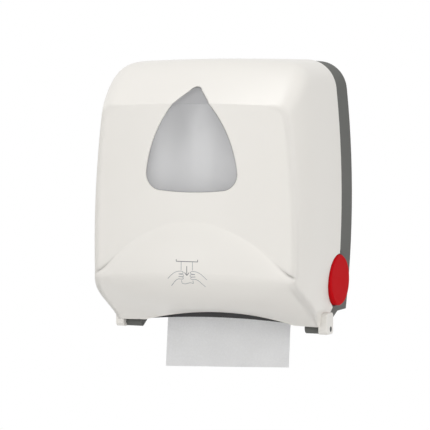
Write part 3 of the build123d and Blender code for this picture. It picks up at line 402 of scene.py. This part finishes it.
def fibrous(name, colour, dimple_share, depth, ring_share):
    """Paper or board, with winding rings where they are asked for."""
    material, tree, shader = new_material(name)
    fibre = place_group(tree, pressed_fibre, {
        "Colour": (*colour, 1.0), "Dimple share": dimple_share})
    surface = fibre["Colour"]
    if ring_share:
        rings = place_group(tree, windings, {})
        surface = brighten(tree, surface, about_zero(tree, rings["Rings"], ring_share))
    feed(tree, shader.inputs["Base Color"], surface)
    relief(tree, shader, fibre["Height"], depth)
    shader.inputs["Roughness"].default_value = 0.92
    shader.inputs["Specular IOR Level"].default_value = 0.2
    return material


print("material makers ready")

# %% [markdown]
# The finishes of this dispenser: warm white cover, dark grey plate, bright red knob, black guide,
# mid grey frames, pale drum and bearings, rubber, two steels, paper and board. The knob and the
# plate are matt, so they are given little gloss, and the sky doesn't wash their colour out.

# %% Finishes
finishes = {
    "white_shell": plastic(
        "cover white", (0.775, 0.752, 0.71), 0.32, drift=0.012, softened=True),
    "grey_plate": plastic(
        "plate grey", (0.132, 0.134, 0.126), 0.6, drift=0.06, depth=0.04 * MM, gloss=0.12),
    "red_knob": plastic(
        "knob red", (0.53, 0.005, 0.009), 0.5, drift=0.05, dust=0.0, gloss=0.02),
    "black_plastic": plastic("guide black", (0.018, 0.018, 0.019), 0.5, drift=0.1),
    "chassis_grey": plastic("frame grey", (0.3, 0.31, 0.31), 0.5, drift=0.04, depth=0.04 * MM),
    "drum_plastic": plastic("drum pale grey", (0.6, 0.6, 0.58), 0.45, drift=0.03),
    "bearing_white": plastic("bearing white", (0.7, 0.7, 0.66), 0.4, drift=0.03, dust=0.02),
    "rubber": plastic(
        "grip rubber", (0.03, 0.03, 0.03), 0.85, drift=0.12, grain=900.0, depth=0.08 * MM),
    "steel": metal("bright steel", (0.58, 0.58, 0.57), 0.28, (120.0, 4000.0, 4000.0)),
    "spring_steel": metal(
        "oiled spring steel", (0.38, 0.38, 0.39), 0.35, (2500.0, 2500.0, 300.0)),
    # The sheet's paper is painted lighter than the roll's paper below: painted light that lifts
    # the tail, which the hood shades from the lamps above.
    "paper": fibrous("towel paper", (0.97, 0.97, 0.97), 0.7, 0.05 * MM, 0.0),
    "cardboard": fibrous("core board", (0.38, 0.27, 0.17), 0.0, 0.05 * MM, 0.15),
}
roll_paper = fibrous("wound towel paper", (0.85, 0.845, 0.83), 0.5, 0.1 * MM, 0.1)
print("finishes:", sorted(finishes))

# %% [markdown]
# The pane is smoked plastic, dark enough to hide the works and clear enough to show how much
# paper is left. A see-through share on the shader lets lamps light the roll behind it, which a
# refracting glass would not do without far more rays. Its rim is darker: partly where the eye
# looks through more plastic, and partly a painted shade for the shadowed gap between pane and
# cover.
# The rim is found by how far a rounded normal leaves the true one there.

# %% Smoked pane
RIM_WIDTH = 1.6 * MM
RIM_SHADE_COLOUR = (0.2, 0.2, 0.21, 1.0)
ALIKE_AT_RIM = 0.9
ALIKE_ON_FACE = 0.995
PANE_COVER = 0.42
RIM_COVER = 0.4


def rim_mask(tree, width):
    """1 at sharp rims and 0 elsewhere."""
    true = add_node(tree, "ShaderNodeNewGeometry")
    rounded = add_node(tree, "ShaderNodeBevel", samples=CORNER_SAMPLES)
    rounded.inputs["Radius"].default_value = width
    likeness = add_node(tree, "ShaderNodeVectorMath", operation="DOT_PRODUCT")
    feed(tree, likeness.inputs[0], true.outputs["Normal"])
    feed(tree, likeness.inputs[1], rounded.outputs[0])
    return ramp(tree, likeness.outputs["Value"], ALIKE_AT_RIM, ALIKE_ON_FACE, 1.0, 0.0)


def smoked_plastic():
    """Smoked plastic that shows the roll behind it, its rim darkened by a painted shade."""
    material, tree, shader = new_material("smoked pane")
    skin = place_group(tree, moulded_skin, {
        "Colour": (0.66, 0.66, 0.67, 1.0), "Tone drift": 0.03, "Roughness": 0.16,
        "Roughness drift": 0.05, "Dust": 0.03})
    rim = rim_mask(tree, RIM_WIDTH)
    # The rim's dark colour is painted shade for the gap between the pane and the cover.
    shade = blend_colours(tree, rim, skin["Colour"], RIM_SHADE_COLOUR)
    feed(tree, shader.inputs["Base Color"], shade)
    feed(tree, shader.inputs["Roughness"], skin["Roughness"])
    rim_share = sum_of(tree, "MULTIPLY", rim, RIM_COVER)
    feed(tree, shader.inputs["Alpha"], sum_of(tree, "ADD", rim_share, PANE_COVER))
    return material


finishes["smoked_pane"] = smoked_plastic()
for part in frame["record"]["subparts"]:
    mesh = nodes[part["node"]].data
    mesh.materials.clear()
    mesh.materials.append(finishes[part["material_slot"]])

# %% [markdown]
# Fine pieces are built from closed loops of points: each loop is joined to the next by a band of
# four-sided faces, and the two ends are capped. That is how a lathe or a rolling mill shapes a
# part, and it leaves no loose faces. Modifiers could make some of these shapes, but loops keep
# every point where it is wanted.

# %% Helpers for meshes
SMOOTH_BELOW = math.radians(35.0)
WIRE_SIDES = 8


def mesh_piece(name, body, build, finish):
    """A finished mesh piece that moves with a body. The build function fills its bmesh."""
    shape = bmesh.new()
    build(shape)
    bmesh.ops.recalc_face_normals(shape, faces=shape.faces)
    mesh = bpy.data.meshes.new(name)
    shape.to_mesh(mesh)
    shape.free()
    mesh.shade_smooth()
    mesh.set_sharp_from_angle(angle=SMOOTH_BELOW)
    mesh.materials.append(finish)
    piece = add_object(name, mesh)
    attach(piece, body)
    print(name, "faces:", len(mesh.polygons))
    return piece


def join_loops(shape, loops, closed=False):
    """Bands of faces between loops with the same number of points, with both ends capped."""
    rows = [[shape.verts.new(place) for place in loop] for loop in loops]
    pairs = list(zip(rows, rows[1:]))
    if closed:
        pairs.append((rows[-1], rows[0]))
    for low, high in pairs:
        for i in range(len(low)):
            j = (i + 1) % len(low)
            shape.faces.new((low[i], low[j], high[j], high[i]))
    if not closed:
        shape.faces.new(rows[0])
        shape.faces.new(rows[-1])


def ring_about_x(x, radius, centre, count):
    """A circle round a line along X."""
    turns = [2 * math.pi * i / count for i in range(count)]
    return [Vector((x, centre.y + radius * math.cos(t), centre.z + radius * math.sin(t)))
            for t in turns]


def sweep(shape, path, radius):
    """A round wire along a path of points."""
    loops = []
    side = ALONG_X.copy()
    for i, place in enumerate(path):
        along = (path[min(i + 1, len(path) - 1)] - path[max(i - 1, 0)]).normalized()
        side = (side - along * side.dot(along)).normalized()
        other = along.cross(side)
        turns = [2 * math.pi * k / WIRE_SIDES for k in range(WIRE_SIDES)]
        loops.append([place + (side * math.cos(t) + other * math.sin(t)) * radius for t in turns])
    join_loops(shape, loops)


print("mesh helpers ready")

# %% [markdown]
# The wound roll. Its ends are not flat: each winding stands a hair in or out of the last, and the
# soft outside is a little out of round. A bump on a cylinder could show that, but its edge would
# stay straight, so the loops are real. They run from the tube out to the paper's outside.

# %% Paper roll
# The fine roll stays a hair inside the solid that it stands in for.
ROLL_OUTER = (roll_high.z - roll_low.z) / 2 - 0.1 * MM
ROLL_INNER = 20.15 * MM
ROLL_HALF = (roll_high.x - roll_low.x) / 2 - 0.45 * MM
WINDING_STEPS = 56
WINDING_WANDER = 0.198 * MM
EDGE_ROUNDING = 0.6 * MM
OUTSIDE_STEPS = 24
OUTSIDE_SHARE = 0.996
OUT_OF_ROUND = 0.35 * MM
ROLL_SIDES = 144


def end_wander(i):
    """How far one winding stands in from the roll's end: two waves that don't line up."""
    return WINDING_WANDER * (math.sin(i * 2.4) + math.sin(i * 0.7 + 1.0))


def soft_ring(x, radius):
    """A circle round the axle, a touch out of round where it is large."""
    loop = ring_about_x(x, radius, roll_axle, ROLL_SIDES)
    give = OUT_OF_ROUND * (radius / ROLL_OUTER) ** 3
    for i, place in enumerate(loop):
        turn = 2 * math.pi * i / ROLL_SIDES
        inward = Vector((0.0, -math.cos(turn), -math.sin(turn)))
        place += inward * give * (0.5 + 0.5 * math.sin(3 * turn + 0.6))
    return loop


def build_roll(shape):
    """The whole roll as one closed band of loops."""
    paper_depth = ROLL_OUTER - EDGE_ROUNDING - ROLL_INNER
    steps = [ROLL_INNER + paper_depth * i / WINDING_STEPS for i in range(WINDING_STEPS + 1)]
    right = [soft_ring(ROLL_HALF - end_wander(i), r) for i, r in enumerate(steps)]
    left = [soft_ring(-ROLL_HALF + end_wander(i + 5), r) for i, r in enumerate(steps)]
    outside = [soft_ring(ROLL_HALF * (1 - 2 * i / OUTSIDE_STEPS) * OUTSIDE_SHARE, ROLL_OUTER)
               for i in range(OUTSIDE_STEPS + 1)]
    join_loops(shape, right + outside + left[::-1], closed=True)


roll = mesh_piece("wound_roll", "roll", build_roll, roll_paper)
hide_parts("paper_roll")
print("roll diameter, mm:", round(2 * ROLL_OUTER / MM, 1))

# %% [markdown]
# One sheet runs from the roll, round the back of the drum, over a small bend and out through the
# slot, where it hangs. A cloth simulation could drape it, but so short and stiff a tail hardly
# folds. So it is built along its path as rows across the paper, and its length stays true. The
# tail keeps a slight wave across its width, and its cut edge is finely toothed by the knife and
# a little aslant.

# %% Hanging sheet
shaft_low, shaft_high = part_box("drive_shaft")
drum_axle = (shaft_low + shaft_high) / 2
tail_low, tail_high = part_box("paper_tail")
SHEET_HALF = tail_high.x
SHEET_THICKNESS = 0.25 * MM
SHEET_COLUMNS = 100
ROLL_CLEARANCE = 0.5 * MM
WRAP_RADIUS = 38.5 * MM
BEND_RADIUS = 20.0 * MM
TAIL_LEAN = math.radians(6.0)
TAIL_WAVE = 0.9 * MM
WAVE_TURN = 4.2
WAVE_START = 0.8
ROW_STEP = 2.0 * MM
CUT_SLANT = 7.0 * MM
CUT_TOOTH = 0.5 * MM


def around(centre, radius, turn):
    """A point (Y, Z) at a turn round a centre, from +Y towards +Z."""
    return Vector((centre.y + radius * math.cos(turn), centre.z + radius * math.sin(turn)))


def arc_points(centre, radius, first, last):
    """Points along an arc, about one row apart."""
    count = max(2, round(abs(last - first) * radius / ROW_STEP))
    return [around(centre, radius, first + (last - first) * i / count) for i in range(count + 1)]


def straight_points(start, end):
    """Points along a straight run, about one row apart, without its first point."""
    count = max(2, round((end - start).length / ROW_STEP))
    return [start.lerp(end, i / count) for i in range(1, count + 1)]


def sheet_path():
    """The sheet's path in the YZ plane, from the roll to its cut edge."""
    between = Vector((drum_axle.y - roll_axle.y, drum_axle.z - roll_axle.z))
    lift_off = (roll_high.z - roll_low.z) / 2 + ROLL_CLEARANCE
    run = math.atan2(between.y, between.x) + math.asin((lift_off + WRAP_RADIUS) / between.length)
    quarter = math.pi / 2
    start = around(roll_axle, lift_off, run - quarter)
    wrap = arc_points(drum_axle, WRAP_RADIUS, run + quarter, -quarter)
    under = Vector((0.0, drum_axle.y, drum_axle.z - WRAP_RADIUS - BEND_RADIUS))
    bend = arc_points(under, BEND_RADIUS, quarter, math.pi - TAIL_LEAN)
    fall = (bend[-1].y - tail_low.z) / math.cos(TAIL_LEAN)
    end = bend[-1] + Vector((-math.sin(TAIL_LEAN), -math.cos(TAIL_LEAN))) * fall
    path = [start] + straight_points(start, wrap[0]) + wrap[1:] + bend[1:]
    return path + straight_points(bend[-1], end)


def free_share(z):
    """0 where the sheet is held in the slot, 1 at the tail's end."""
    return max(0.0, (tail_high.z - z) / (tail_high.z - tail_low.z))


def tail_wave(x, z):
    """How far the free tail stands forward of a flat sheet."""
    return TAIL_WAVE * free_share(z) * math.sin(x / SHEET_HALF * WAVE_TURN + WAVE_START)


def cut_aslant(x, z):
    """How much higher the tail's points lie, because its edge was cut a little aslant."""
    return CUT_SLANT * free_share(z) * (x / SHEET_HALF + 1) / 2


def build_sheet(shape):
    """Rows of points across the sheet, joined by faces and given the paper's thickness."""
    path = sheet_path()
    rows = []
    for i, place in enumerate(path):
        last = i == len(path) - 1
        row = []
        for k in range(SHEET_COLUMNS + 1):
            x = SHEET_HALF * (2 * k / SHEET_COLUMNS - 1)
            tooth = CUT_TOOTH * (k % 2) if last else 0.0
            y = place.x - tail_wave(x, place.y)
            row.append(shape.verts.new((x, y, place.y + tooth + cut_aslant(x, place.y))))
        rows.append(row)
    for low, high in zip(rows, rows[1:]):
        for k in range(SHEET_COLUMNS):
            shape.faces.new((low[k], low[k + 1], high[k + 1], high[k]))
    bmesh.ops.solidify(shape, geom=shape.faces[:], thickness=SHEET_THICKNESS)


sheet = mesh_piece("hanging_sheet", "chassis", build_sheet, finishes["paper"])
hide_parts("paper_web", "paper_tail")

# %% [markdown]
# The works are held together by pan-head screws with a cross recess. A round head alone would
# read as a pin, so each screw is built from loops of 24 points: the same count draws the head's
# circle and the cross, so the head runs down into the recess in one skin.

# %% Screws
SCREW_SIDES = 24
HEAD_RADIUS = 4.0 * MM
HEAD_HEIGHT = 2.4 * MM
SHANK_RADIUS = 2.0 * MM
TIP_RADIUS = SHANK_RADIUS / 2
SHANK_TAPER = 0.8 * MM
HEAD_PROFILE = [(1.0, 0.0), (1.0, 0.4), (0.93, 0.7), (0.78, 0.9)]
RECESS_PROFILE = [(0.16, 0.56, 1.0), (0.1, 0.3, 0.35)]


def circle(radius, height):
    """A screw's circle at a height above its seat."""
    turns = [2 * math.pi * i / SCREW_SIDES for i in range(SCREW_SIDES)]
    return [Vector((radius * math.cos(t), radius * math.sin(t), height)) for t in turns]


def cross(width, reach, height):
    """The outline of a cross recess, with as many points as a circle."""
    half = (width + reach) / 2
    quarter = [(reach, 0), (reach, width), (half, width),
               (width, width), (width, half), (width, reach)]
    points = []
    for i in range(4):
        turn = Matrix.Rotation(i * math.pi / 2, 3, "Z")
        points += [turn @ Vector((x, y, height)) for x, y in quarter]
    return points


def add_screw(shape, seat, outward, shank_length):
    """One screw with the underside of its head on its seat."""
    loops = [
        circle(TIP_RADIUS, -shank_length),
        circle(SHANK_RADIUS, -shank_length + SHANK_TAPER),
        circle(SHANK_RADIUS, 0.0),
    ]
    loops += [circle(HEAD_RADIUS * wide, HEAD_HEIGHT * high) for wide, high in HEAD_PROFILE]
    loops += [cross(HEAD_RADIUS * wide, HEAD_RADIUS * reach, HEAD_HEIGHT * high)
              for wide, reach, high in RECESS_PROFILE]
    turn = outward.to_track_quat("Z", "Y").to_matrix()
    join_loops(shape, [[seat + turn @ place for place in loop] for loop in loops])


def screw_set(name, seats, outward, shank_length, node):
    """All the screws of one kind as one piece."""

    def build(shape):
        for seat, way in zip(seats, outward):
            add_screw(shape, seat, way, shank_length)

    piece = mesh_piece(name, "chassis", build, finishes["steel"])
    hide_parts(node)


def seats_of(x, y, heights):
    """Screw seats on both sides of the middle, in millimetres."""
    return [Vector((side * x * MM, y * MM, z * MM)) for z in heights for side in (-1, 1)]


INTO_ROOM = Vector((0.0, -1.0, 0.0))
frame_seats = seats_of(104.5, -10.0, (-74.0, -171.0))
arm_seats = seats_of(97.0, -10.0, (55.0, -15.0))
strike_seats = [Vector((18.5 * MM, -9.5 * MM, 142.5 * MM))]
guide_seats = seats_of(117.5, -88.0, (-185.5,))
screw_set("frame_pan_screws", frame_seats, [INTO_ROOM] * 4, 8.5 * MM, "frame_screws")
screw_set("arm_pan_screws", arm_seats, [INTO_ROOM] * 4, 8.5 * MM, "arm_screws")
screw_set("strike_pan_screw", strike_seats, [INTO_ROOM], 8.0 * MM, "strike_screw")
screw_set("guide_pan_screws", guide_seats, [-ALONG_X, ALONG_X], 5.5 * MM, "guide_screws")

# %% [markdown]
# The return spring pulls the drum home. A plain bar shows the space it takes. A bump could draw
# turns on such a bar, but light would not pass between them, so it is wound as the real one is:
# one wire that makes an eye, runs down as a close coil and ends in a second eye.

# %% Return spring
SPRING_X = -127.0 * MM
POST = Vector((SPRING_X, -22.0 * MM, -75.0 * MM))
WIRE = 0.7 * MM
EYE = 4.1 * MM
EYE_NECK = 1.2 * MM
EYE_TURN = 300
EYE_STEPS = 30
COIL = 3.7 * MM
COIL_STEPS = 16
COIL_PITCH = 2.15 * WIRE
CRANK_THROW = 22.0 * MM
down = Vector((SPRING_X, drum_axle.y, drum_axle.z)) - POST
crank_pin = POST + down * (1 - CRANK_THROW / down.length)
down.normalize()
sideways = ALONG_X.cross(down).normalized()


def eye_points(centre, out):
    """Most of a circle round a pin. It starts on the side away from the coil."""
    turns = [math.radians(EYE_TURN * i / EYE_STEPS - EYE_TURN / 2) for i in range(EYE_STEPS + 1)]
    return [centre - out * EYE * math.cos(t) + sideways * EYE * math.sin(t) for t in turns]


def build_spring(shape):
    """The eye, the coil and the other eye as one wire."""
    length = (crank_pin - POST).length - 2 * (EYE + EYE_NECK)
    steps = int(length / COIL_PITCH) * COIL_STEPS
    start = POST + down * (EYE + EYE_NECK)
    coil = []
    for i in range(steps + 1):
        angle = 2 * math.pi * i / COIL_STEPS
        spoke = sideways * math.cos(angle) + ALONG_X * math.sin(angle)
        coil.append(start + down * (length * i / steps) + spoke * COIL)
    sweep(shape, eye_points(POST, down) + coil + eye_points(crank_pin, -down), WIRE)


spring = mesh_piece(
    "wound_spring", "chassis", build_spring, finishes["spring_steel"])
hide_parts("return_spring")
print("spring between pins, mm:", round((crank_pin - POST).length / MM, 1))

# %% [markdown]
# A small line drawing on the hood shows how to take a towel: two hands pull the sheet down. It is
# a pad print, so it follows the bulge of the hood. A texture could carry it, but would blur close
# up. So each stroke is a thin ribbon whose points are dropped onto the hood by a ray, which keeps
# the lines the same width wherever the hood curves.

# %% Pictogram
PRINT_CENTRE = Vector((-2.0 * MM, -126.0 * MM))
PRINT_THICKNESS = 0.08 * MM
LINE_WIDTH = 0.8 * MM
ACCENT_WIDTH = 1.2 * LINE_WIDTH
POINT_STEP = 0.7
RAY_START_Y = -0.3
hood_surface = BVHTree.FromPolygons(
    [v.co[:] for v in nodes["front_cover"].data.vertices],
    [p.vertices[:] for p in nodes["front_cover"].data.polygons])
left_hand = [
    [(-31, -8), (-23, -1), (-16, 2.6), (-8.5, 3.4), (-5.6, 1.6), (-7.4, 0.0), (-13, -0.6)],
    [(-13, -0.8), (-6.4, -1.4), (-5.0, -3.0), (-6.6, -4.4), (-13, -4.2)],
    [(-13.4, -4.4), (-7.0, -5.0), (-5.8, -6.6), (-7.4, -8.0), (-14, -7.8)],
    [(-14, -8.0), (-18.5, -10.4), (-27, -18.5)],
]
right_hand = [[(-x, z) for x, z in stroke] for stroke in left_hand]
sheet_lines = [
    [(-9, 17), (-9, 5)], [(9, 17), (9, 5)],
    [(-9, -9.5), (-9, -14)], [(9, -9.5), (9, -14)],
    [(-9, -14), (-4.5, -15), (0, -14), (4.5, -13), (9, -14)],
]
slot_line = [[(-17, 17.4), (17, 17.4)], [(-17, 17.4), (-17, 20.5)], [(17, 17.4), (17, 20.5)]]
arrow = [[(0, 11), (0, -2)], [(-3.4, 1.6), (0, -2.2), (3.4, 1.6)]]


def smooth_stroke(stroke):
    """A stroke in millimetres, its corners rounded by a spline, with close-set points."""
    points = [Vector(p) for p in stroke]
    if len(points) == 2:
        count = max(2, int((points[1] - points[0]).length / POINT_STEP))
        return [points[0].lerp(points[1], i / count) for i in range(count + 1)]
    ends = [points[0] * 2 - points[1]] + points + [points[-1] * 2 - points[-2]]
    result = []
    for a, b, c, d in zip(ends, ends[1:], ends[2:], ends[3:]):
        count = max(2, int((c - b).length / POINT_STEP))
        bow = a * 2 - b * 5 + c * 4 - d
        twist = b * 3 - c * 3 + d - a
        for i in range(count):
            t = i / count
            result.append(b + ((c - a) * t + bow * t ** 2 + twist * t ** 3) / 2)
    return result + [points[-1]]


def on_hood(x, z, lift):
    """A point of the drawing on the hood, lifted a little off it."""
    origin = Vector((PRINT_CENTRE.x + x, RAY_START_Y, PRINT_CENTRE.y + z))
    place = hood_surface.ray_cast(origin, -INTO_ROOM)[0]
    return place + INTO_ROOM * lift


def build_strokes(strokes, width):
    """A function that fills a bmesh with ribbons along the strokes."""

    def build(shape):
        for stroke in strokes:
            points = [p * MM for p in smooth_stroke(stroke)]
            loops = []
            for i, point in enumerate(points):
                along = (points[min(i + 1, len(points) - 1)] - points[max(i - 1, 0)]).normalized()
                side = Vector((-along.y, along.x)) * width / 2
                edges = [(point + side, PRINT_THICKNESS), (point - side, PRINT_THICKNESS),
                         (point - side, -PRINT_THICKNESS), (point + side, -PRINT_THICKNESS)]
                loops.append([on_hood(p.x, p.y, lift) for p, lift in edges])
            join_loops(shape, loops)

    return build


print_grey = plastic("print grey", (0.3, 0.31, 0.33), 0.5, drift=0.08, dust=0.0)
print_dark = plastic("print dark grey", (0.12, 0.125, 0.14), 0.5, drift=0.08, dust=0.0)
hands = build_strokes(left_hand + right_hand + sheet_lines, LINE_WIDTH)
mesh_piece("pictogram_hands", "cover", hands, print_grey)
accents = build_strokes(slot_line + arrow, ACCENT_WIDTH)
mesh_piece("pictogram_arrow", "cover", accents, print_dark)

# %% [markdown]
# The dispenser hangs over a pale floor with white all round. The white is only what the eye and
# reflections see: lamps and sky stay at a plain level, so a colour renders about as it is written
# and the floor still takes the soft shadow. A shadow catcher could do it too, but its render has
# to be laid over white afterwards.

# %% Floor
FLOOR_Z = -0.45
FLOOR_SIZE = 30.0
FLOOR_COLOUR = (0.86, 0.86, 0.86, 1.0)
FLOOR_PATCHES = 3.0
FLOOR_DRIFT = 0.01
SHADOW_FULL = 0.2
SHADOW_REACH = 0.5
WHITE = (1.0, 1.0, 1.0, 1.0)


def sent_as(tree, *kinds):
    """1 for rays of the named kinds and 0 for the others."""
    ray = add_node(tree, "ShaderNodeLightPath")
    share = ray.outputs[kinds[0]]
    for kind in kinds[1:]:
        share = sum_of(tree, "ADD", share, ray.outputs[kind], clamp=True)
    return share


def blend_shaders(tree, share, plain, white, end):
    """The plain shader where a share is 0, the white one where it is 1."""
    mix = add_node(tree, "ShaderNodeMixShader")
    feed(tree, mix.inputs[0], share)
    tree.links.new(plain.outputs[0], mix.inputs[1])
    tree.links.new(white.outputs[0], mix.inputs[2])
    tree.links.new(mix.outputs[0], tree.nodes[end].inputs["Surface"])


def floor_finish():
    """A pale floor that fades into white far from the dispenser."""
    material, tree, shader = new_material("pale floor")
    spot = add_node(tree, "ShaderNodeTexCoord")
    cloud = mottle(tree, spot.outputs["Object"], FLOOR_PATCHES)
    pale = brighten(tree, FLOOR_COLOUR, about_zero(tree, cloud, FLOOR_DRIFT))
    feed(tree, shader.inputs["Base Color"], pale)
    shader.inputs["Roughness"].default_value = 0.9
    distance = add_node(tree, "ShaderNodeVectorMath", operation="LENGTH")
    feed(tree, distance.inputs[0], spot.outputs["Object"])
    fade = ramp(tree, distance.outputs["Value"], SHADOW_FULL, SHADOW_REACH, 0.0, 1.0)
    seen = sent_as(tree, "Is Camera Ray", "Is Glossy Ray")
    white = add_node(tree, "ShaderNodeEmission")
    white.inputs["Strength"].default_value = 1.0
    share = sum_of(tree, "MULTIPLY", fade, seen)
    blend_shaders(tree, share, shader, white, "Material Output")
    return material


floor_shape = bmesh.new()
bmesh.ops.create_grid(floor_shape, x_segments=8, y_segments=8, size=FLOOR_SIZE)
floor_mesh = bpy.data.meshes.new("floor")
floor_shape.to_mesh(floor_mesh)
floor_shape.free()
floor_mesh.materials.append(floor_finish())
floor = add_object("floor", floor_mesh)
floor.location.z = FLOOR_Z
print("floor at", FLOOR_Z)

# %% [markdown]
# One large soft lamp above and to the left shapes the slope and the hood, and one at the right
# lights the knob's side. A weak low lamp lifts the underside and the sheet, and two small ones
# lay soft patches of light on the pane. The sky fills the shadows. A large lamp makes soft
# edges, where a small one would draw hard lines.

# %% Lamps and sky
SKY_LEVEL = 0.56
LAMP_TARGET = Vector((0.0, -0.2, -0.05))


def soft_lamp(name, place, width, height, power):
    """A rectangular lamp that looks at the middle of the dispenser."""
    data = bpy.data.lights.new(name, "AREA")
    data.shape = "RECTANGLE"
    data.size = width
    data.size_y = height
    data.energy = power
    lamp = add_object(name, data)
    lamp.location = place
    aim(lamp, LAMP_TARGET - Vector(place))
    return lamp


soft_lamp("key_lamp", (-0.5, -1.4, 2.8), 1.8, 1.8, 43.0)
soft_lamp("right_lamp", (2.6, -1.2, -0.2), 1.6, 1.6, 28.0)
low_lamp = soft_lamp("low_lamp", (-0.3, -3.0, -0.3), 1.4, 0.6, 8.0)
# Left in reflections, the low lamp would show as a bright patch on the cover.
low_lamp.visible_glossy = False
soft_lamp("pane_glint_left", (-1.66, -2.99, 0.05), 0.16, 0.3, 1.6)
soft_lamp("pane_glint_right", (-1.24, -3.15, 0.03), 0.14, 0.16, 2.2)

world = bpy.data.worlds.new("studio")
world.use_nodes = True
tree = world.node_tree
sky = tree.nodes["Background"]
sky.inputs["Color"].default_value = WHITE
sky.inputs["Strength"].default_value = SKY_LEVEL
backdrop = add_node(tree, "ShaderNodeBackground")
backdrop.inputs["Color"].default_value = WHITE
backdrop.inputs["Strength"].default_value = 1.0
seen = sent_as(tree, "Is Camera Ray", "Is Glossy Ray", "Is Transmission Ray")
blend_shaders(tree, seen, sky, backdrop, "World Output")
scene.world = world
scene.view_settings.view_transform = "Standard"
print("sky level", SKY_LEVEL)
